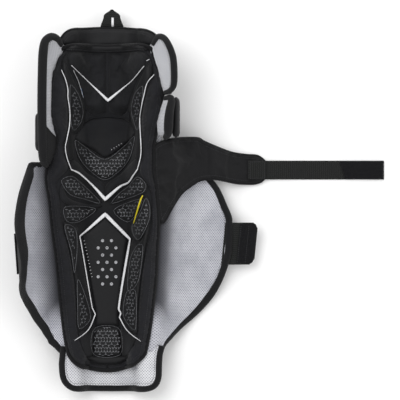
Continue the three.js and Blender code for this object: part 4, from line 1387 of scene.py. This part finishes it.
def knee_wing(name, body, side, crest, root_y, replaced, bands, gusset=None):
    """A mesh face that rises from the base to a thick bound crest, and a padded outer wall under the crest.
    crest is a path (x, y, z, half width); root_y is the span of y on the base that the face starts from."""
    k = SIDE[side]
    path = spline(crest, 2.5)
    line = path[:, :3].copy()
    half = path[:, 3]
    n = len(line)
    t = np.linspace(0, 1, n)
    ry = lerp(root_y[0], root_y[1], t)
    edge = edge_left(ry) if side == "left" else edge_right(ry)
    # the face starts in the base's lining, and deeper at the thigh end, where the liner is low
    root = np.column_stack([np.minimum(edge - 9, 66), ry, shoulder_z(ry) + 7.2 - 4.5 * smooth(ry, 184, 198)])
    inner = line.copy()
    inner[:, 0] -= half * 0.6
    inner[:, 2] -= half * 0.4
    rows = []
    for s in np.linspace(0, 1, 14):
        p = lerp(root, inner, s)
        p[:, 2] -= 5.0 * math.sin(math.pi * s) * 0.8
        p[:, 2] += 0.6 * ripple(p[:, 1], p[:, 0] * 2, 14, 5.0) * math.sin(math.pi * s)
        rows.append(p)
    face = np.stack(rows)
    wall_top = line.copy()
    wall_top[:, 0] += half * 0.55
    wall_top[:, 2] -= half * 0.3
    foot = np.column_stack([hinge_half(ry) + 1.5, ry, shoulder_z(ry) - 1.0])
    rows = []
    for s in np.linspace(0, 1, 12):
        p = lerp(foot, wall_top, s)
        p[:, 0] += 5.0 * math.sin(math.pi * min(s * 1.05, 1)) ** 0.8
        rows.append(p)
    wall = np.stack(rows)
    for g in (face, wall):
        g[..., 0] *= k
    line[:, 0] *= k
    rise = np.linspace(0, 1, 14)[:, None] * np.linalg.norm(face[-1] - face[0], axis=1)[None, :]
    uv = np.stack([rise, face[..., 1]], axis=-1)
    thick = np.array([-k * 1.0, 0, 0.3])
    pieces = [
        closed_piece(f"{name}_mesh", face, face - thick, PAINTED_LIGHT_MESH, uv),
        closed_piece(f"{name}_wall", wall, wall - np.array([k * 2.2, 0, 0]), NYLON),
        tube(f"{name}_crest", line, half, half * 1.1, BINDING, sides=14),
    ]
    pieces.append(stitches(f"{name}_stitches", face[-2] + thick * 0.9, 2.8, 0.3))
    if gusset:
        # black cloth over the ankle end of the mesh, cut on a slant
        rows = []
        for i, s in enumerate(np.linspace(0, 1, 14)):
            along = face[i, int(np.argmax(face[i, :, 1])):]
            target = np.linspace(lerp(*gusset, s), along[-1, 1], 18)
            rows.append(np.column_stack([np.interp(-target, -along[:, 1], along[:, c]) for c in range(3)]))
        patch = np.stack(rows)
        hem = patch[:, 0] + thick * 1.3
        pieces.append(closed_piece(f"{name}_gusset", patch + thick * 1.5, patch + thick * 0.4, NYLON))
        pieces.append(tube(f"{name}_gusset_hem", hem, 0.9, 1.1, BINDING, sides=8))
    x = k * 80
    for p in pieces:
        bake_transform(p)
    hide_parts(replaced[1])
    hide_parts(replaced[0])
    for i, (a, b, x, z0, z1, r) in enumerate(bands):
        ys = np.linspace(a, b, 26)
        t = np.linspace(-1, 1, 26)
        radius = r * np.maximum(1 - t ** 8, 0.02) ** 0.5
        roll = np.column_stack([np.full(26, k * x), ys, np.full(26, (z0 + z1) / 2)])
        roll_piece = tube(f"{name}_roll_{i}", roll, radius,
                          (z1 - z0) / 2 * np.maximum(1 - t ** 8, 0.05) ** 0.5, NYLON, sides=20)
        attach(roll_piece, body)
        if len(replaced) > 2 and i == 0:
            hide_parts(replaced[2])


def knee_wings():
    """The one wing on the left and the two on the right."""
    knee_wing("knee_left", "knee_wing_left", "left",
              [(60, 204, 66, 4), (64, 211, 80, 4.5), (71, 212.5, 92, 5), (78, 206, 98, 5.5),
               (80.5, 192, 101, 6), (81.5, 165, 102, 6), (82, 130, 102, 6), (82, 95, 101, 6),
               (81.5, 70, 100, 6), (81, 56, 97, 5.6), (80, 49, 90, 5), (78.5, 46, 78, 4.2)], (203, 52),
              ("knee_wing_left", "knee_lining_left", "side_guard_left"), [(64, 114, 88.5, 56, 90, 4.2)],
              gusset=(72, 96))
    knee_wing("knee_right_upper", "knee_wing_right_upper", "right",
              [(62, 205, 66, 3.5), (68, 213, 80, 3.8), (76, 211, 90, 4), (83, 200, 97, 4.3),
               (88, 185, 100, 4.5), (89.5, 165, 101, 4.5), (89, 150, 99, 4.2), (85, 143, 90, 3.6),
               (78, 140.5, 74, 3.2)], (204, 139), ("knee_wing_right_upper", "knee_lining_right_upper"), [])
    knee_wing("knee_right_lower", "knee_wing_right_lower", "right",
              [(78, 133, 72, 3.4), (84, 133.5, 84, 4.2), (86.2, 129, 91, 4.9), (84.2, 119, 95, 5.5),
               (82.6, 107, 97, 6), (82, 94, 96, 6), (81.3, 86, 90, 5), (78.5, 82.5, 76, 4)], (133, 88),
              ("knee_wing_right_lower", "knee_lining_right_lower", "side_guard_right"),
              [(81.5, 134.5, 91.6, 58, 92, 5.2)])


# ---------------------------------------------------------------- strap

STRAP_Y, STRAP_WIDTH = 40.0, 25.0
PAD_OVER_WING = 8.6  # from the wing's middle to the strap pad's


def strap_height(x, y):
    """The strap pad's middle: on the base's shoulder, over the fold, then down the wing to the floor."""
    x, y = np.broadcast_arrays(np.asarray(x, float), np.asarray(y, float))
    r = np.linspace(0, 62, 90)
    leave = wing_curve("right", STRAP_Y, 62.0, PAD_OVER_WING)
    out = np.empty(x.shape)
    anchor = np.round(lerp(y, STRAP_Y, smooth(x, 95, 125)), 0)
    for a in np.unique(anchor):
        here = anchor == a
        on = wing_curve("right", a, r, PAD_OVER_WING)
        out[here] = np.interp(x[here], on[:, 0], on[:, 2])
    down = lerp(leave[2], 3.4, smooth(x, leave[0] - 6, 196))
    out = np.where(x > leave[0], down, out)
    fold = hinge_half(y) + 5
    top = shoulder_z(y) + LINING_TOP + 4.2
    return np.where(x < fold + 4, lerp(top, out, smooth(x, fold - 9, fold + 4)), out)


def pillow(name, outline, material, surface, top=3.0, bottom=2.4, roll=5.0, corners=(), wrinkle=0.3,
           swell=0.0):
    """A closed pad about a surface: crowned over it and under it, thin at its sewn edge."""
    STEP = 2.2
    path = spline(outline, STEP * 0.9, closed=True, corners=corners)
    verts, faces = flat_mesh(path, STEP)
    x, y = verts[:, 0], verts[:, 1]
    d = distance_to(verts, path)
    profile = np.sqrt(np.maximum(1 - (1 - clip01(d / roll)) ** 2, 0))
    z = surface(x, y)
    waves = wrinkle * ripple(x, y, 13, 1.0) * profile
    rim = d < 1e-4
    n = len(verts)
    under = np.arange(n)
    under[~rim] = n + np.arange((~rim).sum())
    points = np.concatenate([
        np.column_stack([x, y, z + top * profile + waves]),
        np.column_stack([x, y, z - bottom * profile + waves])[~rim],
    ])
    both = list(faces) + [tuple(under[i] for i in reversed(f)) for f in faces]
    piece = mesh_piece(name, points, both, material, np.concatenate([verts, verts[~rim]]))
    outwards(piece)
    if swell:
        inflate(piece, np.where(np.concatenate([d, d[~rim]]) < roll * 0.2)[0], swell, even=14)
    return piece


STRAP_PAD = [(62, 69), (68, 74), (77, 78), (90, 80.5), (106, 82), (121, 81.5), (128, 77.5), (143, 71),
             (165, 63), (185, 60), (199, 59), (206, 55), (210, 50), (210, 32), (205, 25), (195, 22),
             (182, 22), (169, 23), (150, 27), (139, 28), (123, 26), (110, 18), (101, 11), (95, 4),
             (86, -11), (79, -24), (74.5, -30), (71, -29), (68, -20), (66, 0), (64, 20), (62, 40)]
STRAP_CUT = 95.5  # where the part sewn to the base ends
STRAP_LOW, STRAP_HIGH = STRAP_Y - STRAP_WIDTH / 2, STRAP_Y + STRAP_WIDTH / 2


def strap_side(keep):
    """The stretch of the outline on one side of the cut."""
    path = spline(STRAP_PAD, 1.6, closed=True, corners=(0,))
    side = path[:, 0] <= STRAP_CUT if keep == "root" else path[:, 0] > STRAP_CUT
    start = np.where(side & ~np.roll(side, 1))[0][0]
    order = np.roll(np.arange(len(path)), -start)
    run = [i for i in order if side[i]]

    def crossing(i, j):
        t = (STRAP_CUT - path[i, 0]) / (path[j, 0] - path[i, 0])
        return lerp(path[i], path[j], t)

    n = len(path)
    first, last = crossing((run[0] - 1) % n, run[0]), crossing(run[-1], (run[-1] + 1) % n)
    return np.concatenate([[first], path[run], [last]])


def strap_cushion():
    """The padded strap in one piece, with each of its points laid flat, and its outline."""
    whole = spline(STRAP_PAD, 2.0, closed=True, corners=(0,))
    verts, faces = flat_mesh(whole, 2.0)
    x, y = verts[:, 0], verts[:, 1]
    d = distance_to(verts, whole)
    profile = np.sqrt(np.maximum(1 - (1 - clip01(d / 5.0)) ** 2, 0))
    slope = (strap_height(x + 1, y) - strap_height(x - 1, y)) / 2
    lean = 1 / np.sqrt(1 + slope ** 2)
    up = np.column_stack([-slope * lean, 0 * x, lean])
    middle = np.column_stack([x, y, strap_height(x, y)])
    waves = 0.45 * ripple(x, y, 12, 4.0) * profile
    over = middle + up * ((2.2 + 1.3 * smooth(d, 2, 16)) * profile + waves + 0.5)[:, None]
    under = middle - up * (2.2 * profile + 0.5 - waves)[:, None]
    over[:, 2] = np.maximum(over[:, 2], 1.2)
    under[:, 2] = np.maximum(under[:, 2], 0.3)
    n = len(verts)
    order = np.array([int(np.argmin(np.linalg.norm(verts - p, axis=1))) for p in whole])
    both = list(faces) + [tuple(n + i for i in reversed(f)) for f in faces]
    for a, b in zip(order, np.roll(order, -1)):
        if a != b:
            both.append((a, b, n + b, n + a))
    flat = np.concatenate([verts, verts])
    cushion = mesh_piece("strap_cushion", np.concatenate([over, under]), both, NYLON, flat)
    outwards(cushion)
    inflate(cushion, np.concatenate([np.where(profile < 0.25)[0], n + np.arange(n)]), 2.6, spare=0.07)
    return cushion, flat, whole


def strap_halves():
    """The padded strap, cut where it bends beside the base: each part with its binding and stitches."""
    cushion, flat, whole = strap_cushion()

    def part_of(name, near):
        """A new object from the cushion's faces whose middles are on the near or far side of the cut."""
        co = np.array([v.co for v in cushion.data.vertices]) / MM - np.array([GUARD_X, 0, 0])
        kept = [tuple(f.vertices) for f in cushion.data.polygons
                if (co[list(f.vertices), 0].mean() <= STRAP_CUT) == near]
        used = sorted({i for f in kept for i in f})
        index = {old: new for new, old in enumerate(used)}
        return mesh_piece(name, co[used], [tuple(index[i] for i in f) for f in kept], NYLON, flat[used])

    for part, body_a, body_b, ends, node in (
        ("root", "guard", "calf_wrap_right", ((70, 20, 55), (93, 20, 55)), "strap_root_patch"),
        ("pad", "calf_wrap_right", "strap_pad", ((97, 40, 50), (113, 40, 40)), "strap_pad"),
    ):
        piece = part_of(f"strap_{part}_cushion", part == "root")
        edge_path = strap_side(part)
        line = np.column_stack([edge_path, np.maximum(strap_height(edge_path[:, 0], edge_path[:, 1]), 1.9)])
        binding = tube(f"strap_{part}_edge", line, 1.7, 1.9, BINDING, sides=8)
        along = np.gradient(edge_path, axis=0)
        inwards = np.column_stack([-along[:, 1], along[:, 0]]) / np.maximum(np.linalg.norm(along, axis=1),
                1e-9)[:, None]
        if not inside(edge_path[8:9] + inwards[8:9] * 4, whole)[0]:
            inwards = -inwards
        row = edge_path[1:-1] + inwards[1:-1] * 4.4
        row = surface_under(np.column_stack([row, strap_height(row[:, 0], row[:, 1])]), [cushion], 0.15)
        sewn = stitches(f"strap_{part}_stitches", row, 2.6, 0.28)
        for p in (piece, binding, sewn):
            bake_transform(p)
        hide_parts(node)
    bpy.data.objects.remove(cushion)


def strap_band(name, xs, height, half, material, node, body=None, slide=None, ends=None):
    """A flat length of the strap, as wide as its webbing, which stands for a node."""
    ys = np.linspace(STRAP_LOW, STRAP_HIGH, 15)
    xx, yy = np.meshgrid(xs, ys, indexing="ij")
    if slide is not None:
        xx = xx + slide(xx, yy)
    zz = height(xx, yy)
    edge = smooth(np.minimum(yy - STRAP_LOW, STRAP_HIGH - yy), 0, 1.6)
    top = np.stack([xx, yy, zz + half * (0.55 + 0.45 * edge)], -1)
    bottom = np.stack([xx, yy, np.maximum(zz - half * (0.6 + 0.4 * edge), 0.15)], -1)
    uv = np.stack([xx, yy], -1)
    piece = closed_piece(name, top, bottom, material, uv)
    if ends:
        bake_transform(piece)
    else:
        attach(piece, body)
    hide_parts(node)
    return piece


def strap_sewn_end():
    """The webbing's end, sewn down on the padded strap with four rows of stitches."""
    def sewn_height(x, y):
        return np.maximum(strap_height(x, y), 3.2) + 3.9 - 1.2 * smooth(x, 205, 211)

    strap_band("strap_sewn_end", np.linspace(187.5, 211, 14), sewn_height, 0.9, WEBBING, "strap_anchor",
               body="strap_pad")
    sewn = []
    for x in (189.5, 209):
        sewn.append([(x, y) for y in np.linspace(STRAP_LOW + 1.5, STRAP_HIGH - 1.5, 26)])
    for y in (STRAP_LOW + 1.7, STRAP_HIGH - 1.7):
        sewn.append([(x, y) for x in np.linspace(189.5, 209, 24)])
    for i, row in enumerate(sewn):
        line = np.array([(x, y, float(sewn_height(x, y)) + 1.05) for x, y in row])
        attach(stitches(f"strap_end_stitches_{i}", line, 2.4, 0.3), "strap_pad")


def strap_webbing():
    """The free webbing, its folded tip and the hook tape on the tip."""
    WEB_END, STRAP_END = 312.0, 369.0
    web_z = curve([(203, 4.6), (214, 3.4), (228, 2.4), (245, 1.7), (312, 1.6), (380, 1.6)])

    def sag(x, y):
        return web_z(x) + 0.25 * np.sin(x / 17.0) * smooth(x, 225, 240) + 0.12 * np.cos(x / 9.0 + y / 6.0)

    def tip_height(x, y):
        return sag(x, y) - 0.35

    def hook_height(x, y):
        return sag(x, y) + 0.9

    def slant(x, y):
        """How far the webbing's end is drawn out by its slanted seam."""
        return smooth(x, 290, WEB_END) * (STRAP_Y - y) / STRAP_WIDTH * 8

    def tip_slant(x, y):
        return slant(x, y) * (1 - smooth(x, 330, 366))

    web = strap_band("strap_web_band", np.linspace(208, WEB_END, 70), sag, 0.95, WEBBING, "strap_webbing",
                     slide=slant, ends=("strap_pad", "strap_web", point(209.5, 40, 3), point(214, 40, 3)))
    tip = strap_band("strap_tip_band", np.linspace(WEB_END - 4, STRAP_END, 40), tip_height, 0.75, WEBBING,
                     "strap_tip", slide=tip_slant,
                     ends=("strap_web", "strap_tip", point(310, 40, 2), point(317, 40, 2)))
    strap_band("strap_tip_hook", np.linspace(WEB_END + 1.5, STRAP_END - 0.6, 36), hook_height, 0.55, HOOK,
               "strap_hook_tape", body="strap_tip", slide=tip_slant)
    xs = np.arange(WEB_END + 8, STRAP_END - 1.5, 1.2)
    ys = np.linspace(STRAP_LOW + 1.2, STRAP_HIGH - 1.2, 22)
    seams = [(f"{y:.0f}", xs, np.full(len(xs), y)) for y in (ys[0], ys[-1])]
    seams.append(("end", np.full(len(ys), STRAP_END - 2.0), ys))
    for label, x, y in seams:
        line = np.column_stack([x, y, sag(x, y) + 1.5])
        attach(stitches(f"strap_tip_stitches_{label}", line, 2.4, 0.26), "strap_tip")


def strap():
    """The padded strap in two parts, its webbing, folded tip and hook tape."""
    strap_halves()
    strap_sewn_end()
    strap_webbing()


# ---------------------------------------------------------------- thigh flap and pull tab

def thigh_flap():
    """The pad past the knee end, the hard tongue under it, and the pull tab."""
    def height(x, y):
        return section_z(x - 2.5, 204, 10.0)

    outline = [(-61, 204), (-60, 212), (-51, 222), (-36, 226.5), (-9, 228.5), (24, 228), (50, 224),
               (63, 218), (68, 210), (67, 204), (40, 203), (0, 203), (-40, 203)]
    pad = pillow("thigh_pad_cushion", outline, SMOOTH, height, top=4.5, bottom=4.0, roll=7, wrinkle=0.5,
                 corners=(0, 9), swell=2.5)
    edge_path = spline(outline[:10], 2.0)
    line = np.column_stack([edge_path, height(edge_path[:, 0], edge_path[:, 1])])
    edge = tube("thigh_pad_edge", line, 1.6, 2.2, BINDING, sides=10)
    row = spline([(x * 0.93 + 0.3, y - 5.5) for x, y in outline[1:9]], 2.0)
    row = surface_under(np.column_stack([row, height(row[:, 0], row[:, 1])]), [pad], 0.15)
    sewn = stitches("thigh_pad_stitches", row, 2.6, 0.28)
    for p in (pad, edge, sewn):
        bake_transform(p)
    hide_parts("thigh_pad")
    # the hard cap's tongue under it
    q = np.linspace(-3, 3, 50)[:, None]
    cap = channel(q, np.linspace(199, 223, 9)[None, :], -1.6)
    cap[..., 1] -= 3.0 * (np.abs(q) / 3) ** 2 * smooth(cap[..., 1], 205, 223)
    under = cap.copy()
    cap[..., 2] += 1.2
    under[..., 2] -= 0.6
    under[..., 2] = np.maximum(under[..., 2], 0.2)
    tongue = closed_piece("thigh_cap_shell", cap, under, SHELL)
    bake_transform(tongue)
    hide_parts("thigh_cap")

    # pull tab: a webbing loop, folded to a point
    def tab_edge(y):
        return 15.5 - 4.5 * smooth(y, 228, 244) - 9.5 * smooth(y, 243, 253.5) ** 1.5

    ys = np.concatenate([np.linspace(222, 244, 24), np.linspace(245, 253, 10)])
    u = np.linspace(-1, 1, 17)
    yy, uu = np.meshgrid(ys, u, indexing="ij")
    xx = 6.0 + uu * tab_edge(yy)
    zz = 25.5 - 8.5 * smooth(-yy, -234, -225.5) + 0.5 * np.cos(uu * 2.2) - 1.2 * smooth(yy, 240, 253)
    grid = np.stack([xx, yy, zz], -1)
    tab = closed_piece("pull_tab_loop", grid + np.array([0, 0, 1.5]), grid - np.array([0, 0, 1.5]),
                       WEBBING, np.stack([yy, xx], -1))
    ys = np.linspace(229, 242, 14)
    u = np.linspace(-1.5, 1.5, 7)
    yy, uu = np.meshgrid(ys, u, indexing="ij")
    grid = np.stack([7.0 + uu, yy, 25.5 + 1.5 + 0.55 - 8.5 * smooth(-yy, -234, -225.5) - 1.2
                     * smooth(yy, 240, 253)], -1)
    stripe = closed_piece("pull_tab_mark", grid + np.array([0, 0, 0.35]), grid - np.array([0, 0, 0.3]),
                          PIPING)
    for p in (tab, stripe):
        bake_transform(p)
    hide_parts("pull_tab")
    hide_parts("pull_tab_stripe")


# ---------------------------------------------------------------- everything

def liner():
    """The liner's pieces, and which nodes they stand for."""
    stands_for = {
        "liner_bolster_left": ("liner_roll_knee_left", "liner_roll_shin_left"),
        "liner_bolster_right": ("liner_roll_knee_right", "liner_roll_shin_right"),
        "liner_thigh_left": ("liner_thigh_left",),
        "liner_thigh_right": ("liner_thigh_right",),
        "liner_knee_cup": ("liner_knee_cup",),
        "liner_chevron": ("liner_chevron",),
        "liner_shin": ("liner_shin",),
        "liner_ankle_middle": ("liner_ankle",),
        "liner_cloth": ("liner_backing",),
    }
    backing = liner_backing()
    pads = liner_pads()
    for piece in backing + pads + liner_piping() + vent_dots() + liner_edge(pads) + liner_prints():
        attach(piece, "liner")
        name = piece.name.replace("_cushion", "")
        if name in stands_for:
            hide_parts(*stands_for[name])


def finishes():
    """Better materials for the CAD nodes that stay."""
    for node in ("loop_strip_upper", "loop_strip_lower", "hook_strip_upper", "hook_strip_lower"):
        for slot in bpy.data.objects[node].material_slots:
            slot.material = HOOK


def main():
    stage()
    liner()
    base()
    caps()
    for side in ("left", "right"):
        calf_wing(side)
    loop_patch()
    closing_tab()
    ankle_flange()
    knee_wings()
    strap()
    thigh_flap()
    finishes()


main()
